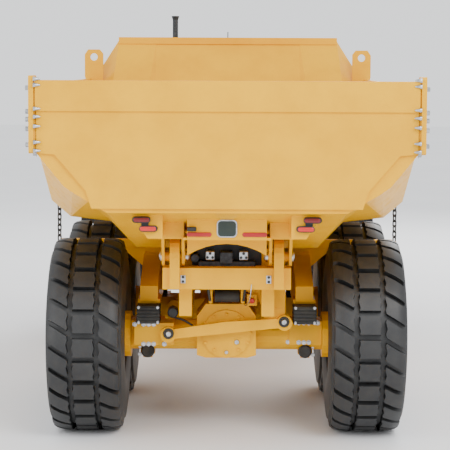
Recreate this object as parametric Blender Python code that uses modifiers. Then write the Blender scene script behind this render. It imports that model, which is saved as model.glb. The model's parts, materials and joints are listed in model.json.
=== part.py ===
"""Six-wheel articulated dump truck with a cable-opened tailgate.

Frame: +X to the truck's right, +Y forward, +Z up, metres. The origin is on the
ground under the centre of the truck's overall length and width.
Distances called "from the rear axle" become world places through place().
"""

import math

import bmesh
import bpy
from mathutils import Matrix, Vector

# ---------------------------------------------------------------- driving dimensions

OVERALL_FRONT = 9.30          # rear axle to the bumper's front face
OVERALL_REAR = 1.65           # rear axle to the tailgate's rear face
BOGIE_SPREAD = 1.95           # rear axle to middle axle
WHEELBASE = 6.39              # rear axle to front axle
HITCH_FROM_REAR = 4.94        # rear axle to the articulation pin

TYRE_RADIUS = 0.9375
TYRE_WIDTH = 0.75
RIM_RADIUS = 0.33
WHEEL_TRACK = 2.68            # between tyre centre planes
WHEEL_SEGMENTS = 20

TUB_WIDTH = 3.32              # inside, at the upper walls
TUB_TOP = 3.38
TUB_FLOOR = 1.84
TUB_WALL = 0.02
HEADBOARD_TOP = 3.86
TUB_HINGE_FROM_REAR = -0.72
TUB_HINGE_Z = 1.78
HINGE_SPACING = 0.485         # truck centre plane to the middle of one hinge

TAILGATE_PIVOT_RISE = 1.30    # tub hinge up to the tailgate pivot, and the chain's length
TAILGATE_TOP = 3.43
CHAIN_FROM_REAR = 0.975
CHAIN_ANCHOR_Z = 1.72

RAIL_OUTER = 0.45
RAIL_TOP = 1.62
RAIL_BOTTOM = 1.20
BEAM_CENTRE_X = 0.754
HITCH_Z = 1.20

CAB_WIDTH = 1.64
CAB_LENGTH = 1.50
CAB_REAR_FROM_AXLE = -1.05    # front axle to the cab's rear wall
CAB_FLOOR = 2.06              # above the mudguards, so that the door clears them
CAB_HEIGHT = 1.60
HOOD_WIDTH = 1.50
FENDER_HALF_WIDTH = 1.88
EXHAUST_TOP = 4.17

# ---------------------------------------------------------------- clearances

SEAT_GAP = 0.0003             # between pieces that touch
PIN_GAP = 0.0005              # around a pin in a moving piece's hole
PIN_SEGMENTS = 28             # sides of a pin and of its hole
TRUNNION_SEGMENTS = 48        # sides of the oscillation trunnion and of its bearing
MOVING_GAP = 0.006            # between pieces that move past each other
RUN_GAP = 0.001               # around a sliding rod

# ---------------------------------------------------------------- places worked out

REAR_AXLE_Y = (OVERALL_REAR - OVERALL_FRONT) / 2.0
MIDDLE_AXLE_Y = REAR_AXLE_Y + BOGIE_SPREAD
FRONT_AXLE_Y = REAR_AXLE_Y + WHEELBASE
HITCH_Y = REAR_AXLE_Y + HITCH_FROM_REAR
BOGIE_Y = REAR_AXLE_Y + BOGIE_SPREAD / 2.0
AXLE_Z = TYRE_RADIUS
WHEEL_X = WHEEL_TRACK / 2.0
TYRE_INNER_X = WHEEL_X - TYRE_WIDTH / 2.0
HINGE_Y = REAR_AXLE_Y + TUB_HINGE_FROM_REAR
REAR_FACE_Y = REAR_AXLE_Y - OVERALL_REAR
FRONT_FACE_Y = REAR_AXLE_Y + OVERALL_FRONT
PIVOT_Z = TUB_HINGE_Z + TAILGATE_PIVOT_RISE
CHAIN_Y = REAR_AXLE_Y + CHAIN_FROM_REAR
CHAIN_TOP_Z = CHAIN_ANCHOR_Z + TAILGATE_PIVOT_RISE
TUB_HALF = TUB_WIDTH / 2.0
ARM_THICKNESS = 0.045
ARM_INNER_X = TUB_HALF + TUB_WALL + 0.025
ARM_OUTER_X = ARM_INNER_X + ARM_THICKNESS
CHAIN_X = ARM_INNER_X + ARM_THICKNESS / 2.0
LEFT = -1.0
RIGHT = 1.0
SIDES = ((LEFT, "left"), (RIGHT, "right"))

# ---------------------------------------------------------------- scene and materials


def clear_scene():
    for thing in list(bpy.data.objects):
        bpy.data.objects.remove(thing, do_unlink=True)


def material(name, colour, roughness, metallic=0.0):
    made = bpy.data.materials.new(name)
    made.use_nodes = True
    shader = made.node_tree.nodes["Principled BSDF"]
    shader.inputs["Base Color"].default_value = (*colour, 1.0)
    shader.inputs["Roughness"].default_value = roughness
    shader.inputs["Metallic"].default_value = metallic
    made.diffuse_color = (*colour, 1.0)
    return made


def finish(piece, name, surface, pivot=None, smooth=False):
    """Name a finished piece, give it its material and move its origin to its joint axis."""
    piece.name = name
    piece.data.name = name
    piece.data.materials.clear()
    piece.data.materials.append(surface)
    for old in list(piece.users_collection):
        old.objects.unlink(piece)
    truck.objects.link(piece)
    if pivot is not None:
        piece.data.transform(Matrix.Translation(-Vector(pivot)))
        piece.location = pivot
    if smooth:
        piece.data.shade_smooth()
        piece.data.set_sharp_from_angle(angle=math.radians(35.0))
    return piece


# ---------------------------------------------------------------- modelling tools


def bake(piece):
    """Apply a piece's transform so that its mesh is in world places."""
    piece.data.transform(piece.matrix_basis)
    piece.matrix_basis = Matrix.Identity(4)
    return piece


def box(x_range, y_range, z_range):
    low = Vector((min(x_range), min(y_range), min(z_range)))
    high = Vector((max(x_range), max(y_range), max(z_range)))
    bpy.ops.mesh.primitive_cube_add(size=1.0, location=(low + high) / 2.0)
    piece = bpy.context.object
    piece.scale = high - low
    return bake(piece)


def hole_radius(pin_radius, gap, segments=PIN_SEGMENTS):
    """The radius of a bore whose flats clear a round pin, so that the pin can turn in it."""
    return (pin_radius + gap) / math.cos(math.pi / segments)


def rod(start, end, radius, segments=12, end_radius=None):
    """A round bar, or a cone if the end radius differs."""
    start = Vector(start)
    end = Vector(end)
    along = end - start
    bpy.ops.mesh.primitive_cone_add(
        vertices=segments,
        radius1=radius,
        radius2=radius if end_radius is None else end_radius,
        depth=along.length,
        location=(start + end) / 2.0,
        rotation=along.to_track_quat("Z", "Y").to_euler(),
    )
    return bake(bpy.context.object)


def plate(axis, centre, thickness, outline):
    """A flat plate normal to X, Y or Z from its outline in the other two directions."""
    curve = bpy.data.curves.new("outline", "CURVE")
    curve.dimensions = "2D"
    curve.fill_mode = "BOTH"
    curve.extrude = thickness / 2.0
    spline = curve.splines.new("POLY")
    spline.points.add(len(outline) - 1)
    for point, (across, up) in zip(spline.points, outline):
        point.co = (across, up, 0.0, 1.0)
    spline.use_cyclic_u = True
    guide = bpy.data.objects.new("outline", curve)
    bpy.context.collection.objects.link(guide)
    if axis == "X":
        turn = Matrix(((0, 0, 1, centre), (1, 0, 0, 0), (0, 1, 0, 0), (0, 0, 0, 1)))
    elif axis == "Y":
        turn = Matrix(((1, 0, 0, 0), (0, 0, -1, centre), (0, 1, 0, 0), (0, 0, 0, 1)))
    else:
        turn = Matrix.Translation((0.0, 0.0, centre))
    graph = bpy.context.evaluated_depsgraph_get()
    mesh = bpy.data.meshes.new_from_object(guide.evaluated_get(graph))
    weld(mesh)
    mesh.transform(turn)
    bpy.data.objects.remove(guide, do_unlink=True)
    piece = bpy.data.objects.new("plate", mesh)
    bpy.context.collection.objects.link(piece)
    return piece


def weld(mesh):
    """Close a filled curve's mesh and make each flat side one face."""
    shape = bmesh.new()
    shape.from_mesh(mesh)
    bmesh.ops.remove_doubles(shape, verts=shape.verts, dist=0.00005)
    bmesh.ops.dissolve_limit(shape, angle_limit=0.0005, verts=shape.verts, edges=shape.edges)
    bmesh.ops.triangulate(shape, faces=shape.faces, ngon_method="EAR_CLIP")
    bmesh.ops.recalc_face_normals(shape, faces=shape.faces)
    shape.to_mesh(mesh)
    shape.free()


def face_outward(mesh):
    shape = bmesh.new()
    shape.from_mesh(mesh)
    bmesh.ops.recalc_face_normals(shape, faces=shape.faces)
    shape.to_mesh(mesh)
    shape.free()


def arc(centre, radius, first, last, steps):
    """Points on an arc, from the first to the last angle in degrees."""
    points = []
    for step in range(steps + 1):
        turn = math.radians(first + (last - first) * step / steps)
        points.append((centre[0] + radius * math.cos(turn), centre[1] + radius * math.sin(turn)))
    return points


def turned(profile, segments):
    """A turned solid about X: profile points are (radius, place along X), from +X to -X."""
    mesh = bpy.data.meshes.new("profile")
    edges = [(index, index + 1) for index in range(len(profile) - 1)]
    if profile[0][0] > 0.0:
        edges.append((len(profile) - 1, 0))
    mesh.from_pydata([(radius, 0.0, height) for radius, height in profile], edges, [])
    piece = bpy.data.objects.new("turned", mesh)
    bpy.context.collection.objects.link(piece)
    screw = piece.modifiers.new("Screw", "SCREW")
    screw.axis = "Z"
    screw.steps = segments
    screw.render_steps = segments
    screw.use_merge_vertices = True
    screw.merge_threshold = 0.0001
    apply_modifier(piece, screw)
    face_outward(piece.data)
    flat_at_bottom = Matrix.Rotation(math.pi / segments, 4, "Z")
    lay_down = Matrix.Rotation(math.pi / 2.0, 4, "Y")
    piece.data.transform(lay_down @ flat_at_bottom)
    return piece


def apply_modifier(piece, modifier):
    bpy.context.view_layer.objects.active = piece
    bpy.ops.object.modifier_apply(modifier=modifier.name)


def combine(operation, piece, others):
    """One Boolean between a piece and all the others together."""
    group = bpy.data.collections.new("operands")
    bpy.context.scene.collection.children.link(group)
    for other in others:
        for old in list(other.users_collection):
            old.objects.unlink(other)
        group.objects.link(other)
    change = piece.modifiers.new("Boolean", "BOOLEAN")
    change.operation = operation
    change.solver = "EXACT"
    change.operand_type = "COLLECTION"
    change.collection = group
    apply_modifier(piece, change)
    for other in others:
        bpy.data.objects.remove(other, do_unlink=True)
    bpy.data.collections.remove(group)
    return piece


def unite(piece, *others):
    return combine("UNION", piece, others)


def cut(piece, *others):
    return combine("DIFFERENCE", piece, others)


def place(across, from_rear_axle, up):
    return Vector((across, REAR_AXLE_Y + from_rear_axle, up))


def mirrored_pair(x_range, y_range, z_range):
    """The same box on the left and on the right."""
    left = box((-x_range[0], -x_range[1]), y_range, z_range)
    return box(x_range, y_range, z_range), left


# ---------------------------------------------------------------- wheels

RIM_HALF = 0.325
RIM_BORE = 0.30
DISC_INNER = 0.05             # wheel centre plane to the disc's inboard face
HUB_FACE_X = WHEEL_X - DISC_INNER
FACET = math.cos(math.pi / WHEEL_SEGMENTS)
BEAD_RADIUS = RIM_RADIUS + SEAT_GAP


def tyre(surface, name, centre):
    half = TYRE_WIDTH / 2.0
    tread = TYRE_RADIUS / FACET
    side = [
        (BEAD_RADIUS, RIM_HALF - 0.040),
        (BEAD_RADIUS + 0.036, RIM_HALF - 0.004),
        (BEAD_RADIUS + 0.10, half - 0.035),
        ((BEAD_RADIUS + tread) / 2.0 + 0.05, half),
        (tread - 0.075, half - 0.025),
        (tread, half - 0.115),
    ]
    profile = side + [(radius, -height) for radius, height in reversed(side)]
    piece = turned(profile, WHEEL_SEGMENTS)
    piece.data.transform(Matrix.Translation(centre))
    return finish(piece, name, surface, centre, smooth=True)


def rim(surface, name, centre, side):
    profile = [
        (0.0, 0.13),
        (0.16, 0.10),
        (RIM_BORE, 0.02),
        (RIM_BORE, RIM_HALF),
        (RIM_RADIUS + 0.035, RIM_HALF),
        (RIM_RADIUS, RIM_HALF - 0.035),
        (RIM_RADIUS, -RIM_HALF + 0.035),
        (RIM_RADIUS + 0.035, -RIM_HALF),
        (RIM_BORE, -RIM_HALF),
        (RIM_BORE, -DISC_INNER),
        (0.0, -DISC_INNER),
    ]
    piece = turned(profile, WHEEL_SEGMENTS)
    if side < 0.0:
        piece.data.transform(Matrix.Rotation(math.pi, 4, "Z"))
    piece.data.transform(Matrix.Translation(centre))
    return finish(piece, name, surface, centre, smooth=True)


def wheels(surfaces):
    for axle_name, axle_y in (("rear", REAR_AXLE_Y), ("middle", MIDDLE_AXLE_Y), ("front", FRONT_AXLE_Y)):
        for side, side_name in SIDES:
            centre = Vector((side * WHEEL_X, axle_y, AXLE_Z))
            tyre(surfaces["rubber"], f"{axle_name}_tyre_{side_name}", centre)
            rim(surfaces["yellow"], f"{axle_name}_rim_{side_name}", centre, side)


# ---------------------------------------------------------------- axles and suspension

AXLE_TUBE_RADIUS = 0.15
BEAM_HALF = 0.086
PAD_HALF = 0.100
FLANGE_HALF = 0.107
SEAT_TOP = AXLE_Z + 0.152
PAD_BOTTOM = SEAT_TOP + SEAT_GAP
PAD_TOP = PAD_BOTTOM + 0.18
LINK_Z = AXLE_Z - 0.17
LINK_X = BEAM_CENTRE_X + 0.016
LINK_EYE = 0.065
HANGER_Z = AXLE_Z - 0.08
LATERAL_EYE = 0.075
LATERAL_OFFSET = 0.35         # axle centre to the lateral rod
LATERAL_LEFT = (-0.56, AXLE_Z + 0.047)
LATERAL_RIGHT = (0.555, AXLE_Z + 0.166)
LATERAL_HALF = 0.045
UPPER_LINK_Z = AXLE_Z + 0.42
CENTRE_BRACE_HALF = 0.15


def axle_housing(axle_y):
    """A drive axle: tube, hub ends and differential."""
    ends = HUB_FACE_X - SEAT_GAP
    piece = rod((-ends, axle_y, AXLE_Z), (ends, axle_y, AXLE_Z), AXLE_TUBE_RADIUS, 16)
    for side, _ in SIDES:
        drum = rod((side * 0.93, axle_y, AXLE_Z), (side * (ends - 0.002), axle_y, AXLE_Z), 0.225, 16)
        unite(piece, drum)
    bowl = rod((0.0, axle_y - 0.27, AXLE_Z + 0.04), (0.0, axle_y + 0.27, AXLE_Z + 0.04), 0.235, 16)
    case = [(-0.286, 0.0), (-0.286, 0.21), (-0.20, 0.33), (0.20, 0.33), (0.286, 0.21), (0.286, 0.0)]
    case += [(0.286, -0.17), (0.20, -0.195), (-0.20, -0.195), (-0.286, -0.17)]
    housing = plate("Y", axle_y, 0.50, [(across, AXLE_Z + up) for across, up in case])
    return unite(piece, bowl, housing)


def bogie_axle(surface, name, axle_y, toward_centre):
    """A bogie axle with beam seats, lower and upper thrust rods and the lateral rod's bracket."""
    piece = axle_housing(axle_y)
    for side, _ in SIDES:
        seat = box(
            (side * 0.61, side * 0.925),
            (axle_y - 0.165, axle_y + 0.165),
            (AXLE_Z - 0.08, SEAT_TOP),
        )
        lug = box((side * 0.70, side * 0.84), (axle_y - 0.07, axle_y + 0.07), (LINK_Z - 0.02, AXLE_Z))
        far = BOGIE_Y - toward_centre * 0.12
        link = rod((side * LINK_X, axle_y, LINK_Z), (side * LINK_X, far, HANGER_Z), 0.038, 10)
        eye = rod((side * (LINK_X - 0.04), far, HANGER_Z), (side * (LINK_X + 0.04), far, HANGER_Z), LINK_EYE)
        near_eye = rod(
            (side * (LINK_X - 0.045), axle_y, LINK_Z),
            (side * (LINK_X + 0.045), axle_y, LINK_Z),
            LINK_EYE,
        )
        unite(piece, seat, lug, link, eye, near_eye)
    upper_far = BOGIE_Y - toward_centre * (CENTRE_BRACE_HALF + SEAT_GAP)
    stem = box((-0.11, 0.11), (axle_y - 0.09, axle_y + 0.09), (AXLE_Z + 0.25, UPPER_LINK_Z + 0.05))
    upper = rod((0.0, axle_y, UPPER_LINK_Z), (0.0, upper_far, UPPER_LINK_Z), 0.042, 10)
    rod_face = axle_y - LATERAL_OFFSET + LATERAL_HALF + SEAT_GAP
    bracket = box(
        (LATERAL_LEFT[0] - 0.33, LATERAL_LEFT[0] + 0.05),
        (rod_face, axle_y - 0.12),
        (LATERAL_LEFT[1] - 0.11, LATERAL_LEFT[1] + 0.10),
    )
    unite(piece, stem, upper, bracket)
    return finish(piece, name, surface)


def lateral_rod(surface, name, axle_y):
    """The bar that holds an axle sideways, with an eye at each end."""
    rod_y = axle_y - LATERAL_OFFSET
    left = Vector((LATERAL_LEFT[0], LATERAL_LEFT[1]))
    right = Vector((LATERAL_RIGHT[0], LATERAL_RIGHT[1]))
    along = (right - left).normalized()
    rise = Vector((-along.y, along.x)) * 0.055
    outline = [left - rise * 0.8, right - rise * 0.8, right + rise * 0.8, (left + right) / 2 + rise * 1.25,
               left + rise * 0.8]
    piece = plate("Y", rod_y, LATERAL_HALF * 1.5, [tuple(point) for point in outline])
    for end in (left, right):
        eye = rod(
            (end.x, rod_y - LATERAL_HALF, end.y),
            (end.x, rod_y + LATERAL_HALF, end.y),
            LATERAL_EYE,
            16,
        )
        unite(piece, eye)
    return finish(piece, name, surface)


def walking_beam(surface, side, side_name):
    """The rocking beam over a pair of axles, with the rubber blocks under its ends."""
    inner = side * (BEAM_CENTRE_X - BEAM_HALF)
    outer = side * (BEAM_CENTRE_X + BEAM_HALF)
    half_spread = BOGIE_SPREAD / 2.0
    end = half_spread + 0.17
    top = RAIL_TOP + 0.03
    outline = [
        (BOGIE_Y - end, PAD_TOP + 0.01),
        (BOGIE_Y - half_spread + 0.20, PAD_TOP + 0.013),
        (BOGIE_Y - 0.25, PAD_TOP - 0.09),
        (BOGIE_Y + 0.25, PAD_TOP - 0.09),
        (BOGIE_Y + half_spread - 0.20, PAD_TOP + 0.013),
        (BOGIE_Y + end, PAD_TOP + 0.01),
        (BOGIE_Y + end, PAD_TOP + 0.16),
        (BOGIE_Y + 0.35, top),
        (BOGIE_Y - 0.35, top),
        (BOGIE_Y - end, PAD_TOP + 0.16),
    ]
    piece = plate("X", (inner + outer) / 2.0, BEAM_HALF * 2.0, outline)
    for axle_y in (REAR_AXLE_Y, MIDDLE_AXLE_Y):
        flange = box(
            (side * (BEAM_CENTRE_X - FLANGE_HALF), side * (BEAM_CENTRE_X + FLANGE_HALF)),
            (axle_y - 0.150, axle_y + 0.150),
            (PAD_TOP - 0.004, PAD_TOP + 0.03),
        )
        pad = box(
            (side * (BEAM_CENTRE_X - PAD_HALF), side * (BEAM_CENTRE_X + PAD_HALF)),
            (axle_y - 0.135, axle_y + 0.135),
            (PAD_BOTTOM, PAD_TOP + 0.004),
        )
        unite(piece, flange, pad)
    unite(piece, *chain_outrigger(side, top))
    return finish(piece, f"walking_beam_{side_name}", surface)


def front_axle(surface):
    """The front drive axle with its strut towers up to the frame rails."""
    piece = axle_housing(FRONT_AXLE_Y)
    for side, _ in SIDES:
        strut = rod(
            (side * 0.62, FRONT_AXLE_Y, AXLE_Z),
            (side * 0.62, FRONT_AXLE_Y, FRONT_RAIL_BOTTOM + 0.25),
            0.075,
        )
        arm = box(
            (side * 0.30, side * 0.37),
            (FRONT_AXLE_Y - 0.10, FRONT_AXLE_Y + 0.10),
            (AXLE_Z, FRONT_RAIL_BOTTOM - SEAT_GAP),
        )
        unite(piece, strut, arm)
    return finish(piece, "front_axle", surface)


# ---------------------------------------------------------------- rear frame

EAR_RADIUS = 0.165
EAR_HALF = 0.046
HINGE_PIN_RADIUS = 0.045
CROSSMEMBER_TOP = TUB_HINGE_Z - 0.10
CROSSMEMBER_BOTTOM = CROSSMEMBER_TOP - 0.20
HOIST_X = 0.562
HOIST_BASE = (2.50, 1.12)     # from the rear axle, up
HOIST_EYE = (0.30, 1.70)
HOIST_PIN_RADIUS = 0.035
HOIST_HALF_EYE = 0.045
TRUNNION_RADIUS = 0.16
BEARING_RADIUS = 0.245
OUTRIGGER_HALF = 0.045
CHAIN_LUG = 0.040
SHAFT_Z = 1.33


def rear_frame(surface):
    rail_front = REAR_AXLE_Y + 4.02
    piece = box((-0.60, 0.60), (HINGE_Y - 0.090, HINGE_Y + 0.16), (CROSSMEMBER_BOTTOM, CROSSMEMBER_TOP))
    along = (HINGE_Y + 0.10, rail_front)
    rails = mirrored_pair((RAIL_OUTER - 0.12, RAIL_OUTER), along, (RAIL_BOTTOM, RAIL_TOP))
    unite(piece, *rails)
    braces = ((BOGIE_Y, CENTRE_BRACE_HALF), (MIDDLE_AXLE_Y + 0.62, 0.08), (rail_front - 0.12, 0.11))
    for middle, half_depth in braces:
        brace = box(
            (-RAIL_OUTER + 0.05, RAIL_OUTER - 0.05),
            (middle - half_depth, middle + half_depth),
            (RAIL_BOTTOM + 0.06, RAIL_TOP - 0.06),
        )
        unite(piece, brace)
    for side, _ in SIDES:
        unite(piece, *hinge_stand(side), *bogie_hanger(side), *hoist_bracket(side))
    for axle_y in (REAR_AXLE_Y, MIDDLE_AXLE_Y):
        unite(piece, *lateral_bracket(axle_y))
    unite(piece, lateral_gusset())
    neck = box((-0.33, 0.33), (rail_front - 0.10, HITCH_Y - 0.62), (HITCH_Z - 0.28, HITCH_Z + 0.30))
    bearing = rod((0.0, HITCH_Y - 0.70, HITCH_Z), (0.0, HITCH_Y - 0.44, HITCH_Z), BEARING_RADIUS, 20)
    unite(piece, neck, bearing)
    bore = rod(
        (0.0, HITCH_Y - 0.76, HITCH_Z),
        (0.0, HITCH_Y - 0.40, HITCH_Z),
        hole_radius(TRUNNION_RADIUS, PIN_GAP, TRUNNION_SEGMENTS),
        TRUNNION_SEGMENTS,
    )
    cut(piece, bore)
    return finish(piece, "rear_frame", surface)


def hinge_stand(side):
    """The frame's ear and pin that carry one tub hinge."""
    round_top = arc((HINGE_Y, TUB_HINGE_Z), EAR_RADIUS, 0.0, 180.0, 10)
    outline = round_top + [
        (HINGE_Y - EAR_RADIUS, CROSSMEMBER_BOTTOM + 0.01),
        (HINGE_Y + EAR_RADIUS, RAIL_BOTTOM + 0.3),
    ]
    ear = plate("X", side * HINGE_SPACING, EAR_HALF * 2.0, outline)
    pin = rod(
        (side * (HINGE_SPACING - 0.125), HINGE_Y, TUB_HINGE_Z),
        (side * (HINGE_SPACING + 0.14), HINGE_Y, TUB_HINGE_Z),
        HINGE_PIN_RADIUS,
        PIN_SEGMENTS,
    )
    return ear, pin


def bogie_hanger(side):
    """The walking beam's shaft and the post that takes the lower thrust rods."""
    beam_face = BEAM_CENTRE_X - BEAM_HALF - SEAT_GAP
    shaft_inner = (side * (RAIL_OUTER - 0.04), BOGIE_Y, SHAFT_Z)
    shaft = rod(shaft_inner, (side * beam_face, BOGIE_Y, SHAFT_Z), 0.085, 16)
    post = box(
        (side * (RAIL_OUTER - 0.10), side * (RAIL_OUTER + 0.03)),
        (BOGIE_Y - 0.16, BOGIE_Y + 0.16),
        (HANGER_Z - 0.09, RAIL_BOTTOM + 0.05),
    )
    arm = box(
        (side * (RAIL_OUTER - 0.05), side * (LINK_X - 0.04 - SEAT_GAP)),
        (BOGIE_Y - 0.19, BOGIE_Y + 0.19),
        (HANGER_Z - 0.06, HANGER_Z + 0.06),
    )
    return shaft, post, arm


def hoist_bracket(side):
    """The pin and bracket at the base of one hoist cylinder."""
    base = place(0.0, *HOIST_BASE)
    post = box(
        (side * (RAIL_OUTER - 0.10), side * (HOIST_X - HOIST_HALF_EYE - MOVING_GAP)),
        (base.y - 0.05, base.y + 0.10),
        (base.z - 0.07, RAIL_BOTTOM + 0.08),
    )
    pin = rod(
        (side * (RAIL_OUTER - 0.02), base.y, base.z),
        (side * (HOIST_X + HOIST_HALF_EYE + 0.02), base.y, base.z),
        HOIST_PIN_RADIUS,
        PIN_SEGMENTS,
    )
    return post, pin


def chain_outrigger(side, beam_top):
    """The arm on a walking beam's middle, between the tyres, that anchors one tailgate chain."""
    bar = box(
        (side * (BEAM_CENTRE_X - BEAM_HALF + 0.012), side * (ARM_OUTER_X - 0.045)),
        (CHAIN_Y - OUTRIGGER_HALF, CHAIN_Y + OUTRIGGER_HALF),
        (CHAIN_ANCHOR_Z - 0.030, CHAIN_ANCHOR_Z + 0.055),
    )
    post = box(
        (side * (BEAM_CENTRE_X - BEAM_HALF + 0.010), side * (BEAM_CENTRE_X + BEAM_HALF - 0.010)),
        (CHAIN_Y - 0.10, CHAIN_Y + 0.10),
        (beam_top - 0.02, CHAIN_ANCHOR_Z + 0.050),
    )
    beam_face = BEAM_CENTRE_X + BEAM_HALF - 0.005
    web = plate(
        "Y",
        CHAIN_Y,
        0.05,
        [
            (side * 1.055, CHAIN_ANCHOR_Z),
            (side * 1.055, 1.66),
            (side * beam_face, 1.47),
            (side * beam_face, CHAIN_ANCHOR_Z),
        ],
    )
    lug = rod(
        (side * (ARM_OUTER_X - 0.06), CHAIN_Y, CHAIN_ANCHOR_Z),
        (side * (ARM_OUTER_X - 0.003), CHAIN_Y, CHAIN_ANCHOR_Z),
        CHAIN_LUG,
    )
    return bar, post, web, lug


def lateral_bracket(axle_y):
    """The plate that takes a lateral rod's right eye."""
    eye_x, eye_z = LATERAL_RIGHT
    face = axle_y - LATERAL_OFFSET + LATERAL_HALF + SEAT_GAP
    hang = box((RAIL_OUTER - 0.09, eye_x + 0.005), (face, face + 0.05), (eye_z - 0.045, RAIL_BOTTOM + 0.035))
    tie = box(
        (RAIL_OUTER - 0.098, eye_x + 0.007),
        (face + 0.002, face + 0.10),
        (RAIL_BOTTOM - 0.04, RAIL_BOTTOM + 0.031),
    )
    return hang, tie


def lateral_gusset():
    """The deep plate from the hinge crossmember to the rear lateral rod's bracket."""
    face = REAR_AXLE_Y - LATERAL_OFFSET + LATERAL_HALF + SEAT_GAP
    outline = [
        (0.565, CROSSMEMBER_BOTTOM + 0.10),
        (0.09, CROSSMEMBER_BOTTOM + 0.10),
        (0.10, CROSSMEMBER_BOTTOM - 0.05),
        (0.30, 1.35),
        (0.353, 1.185),
        (0.567, 1.185),
    ]
    return plate("Y", face + 0.035, 0.05, outline)


# ---------------------------------------------------------------- hitch and front frame

HITCH_BARREL_RADIUS = 0.13
HITCH_HALF_HEIGHT = 0.22
HITCH_PIN_RADIUS = 0.06
LUG_THICKNESS = 0.075
STEER_LUG = (0.46, -0.08)     # across and along from the articulation pin
STEER_BASE = (0.62, 1.10)
STEER_BARREL_RADIUS = 0.052
STEER_ROD_RADIUS = 0.028
STEER_EYE_HALF = 0.03
FRONT_RAIL_BOTTOM = 1.16
FRONT_RAIL_TOP = 1.46
FRONT_RAIL_OUTER = 0.40
FRONT_RAIL_END = 2.45         # front axle to the rails' front ends
FRONT_WALL_HALF = 0.335


def hitch(surface):
    """The pivot casting: it rolls in the rear frame and steers on the front frame."""
    trunnion_ends = ((0.0, HITCH_Y - 0.75, HITCH_Z), (0.0, HITCH_Y - 0.36, HITCH_Z))
    piece = rod(*trunnion_ends, TRUNNION_RADIUS, TRUNNION_SEGMENTS)
    flange = rod((0.0, HITCH_Y - 0.434, HITCH_Z), (0.0, HITCH_Y - 0.36, HITCH_Z), BEARING_RADIUS - 0.01, 20)
    block = box((-0.115, 0.115), (HITCH_Y - 0.40, HITCH_Y - 0.02), (HITCH_Z - 0.18, HITCH_Z + 0.18))
    barrel = rod(
        (0.0, HITCH_Y, HITCH_Z - HITCH_HALF_HEIGHT),
        (0.0, HITCH_Y, HITCH_Z + HITCH_HALF_HEIGHT),
        HITCH_BARREL_RADIUS,
        20,
    )
    lug_top = HITCH_Z - STEER_EYE_HALF - MOVING_GAP
    lug_y = HITCH_Y + STEER_LUG[1]
    lug_reach = STEER_LUG[0] + 0.05
    lugs = box((-lug_reach, lug_reach), (lug_y - 0.055, lug_y + 0.055), (lug_top - 0.05, lug_top))
    unite(piece, flange, block, barrel, lugs)
    bore = rod(
        (0.0, HITCH_Y, HITCH_Z - HITCH_HALF_HEIGHT - 0.05),
        (0.0, HITCH_Y, HITCH_Z + HITCH_HALF_HEIGHT + 0.05),
        hole_radius(HITCH_PIN_RADIUS, PIN_GAP),
        PIN_SEGMENTS,
    )
    cut(piece, bore)
    return finish(piece, "hitch", surface, (0.0, HITCH_Y, HITCH_Z))


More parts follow.
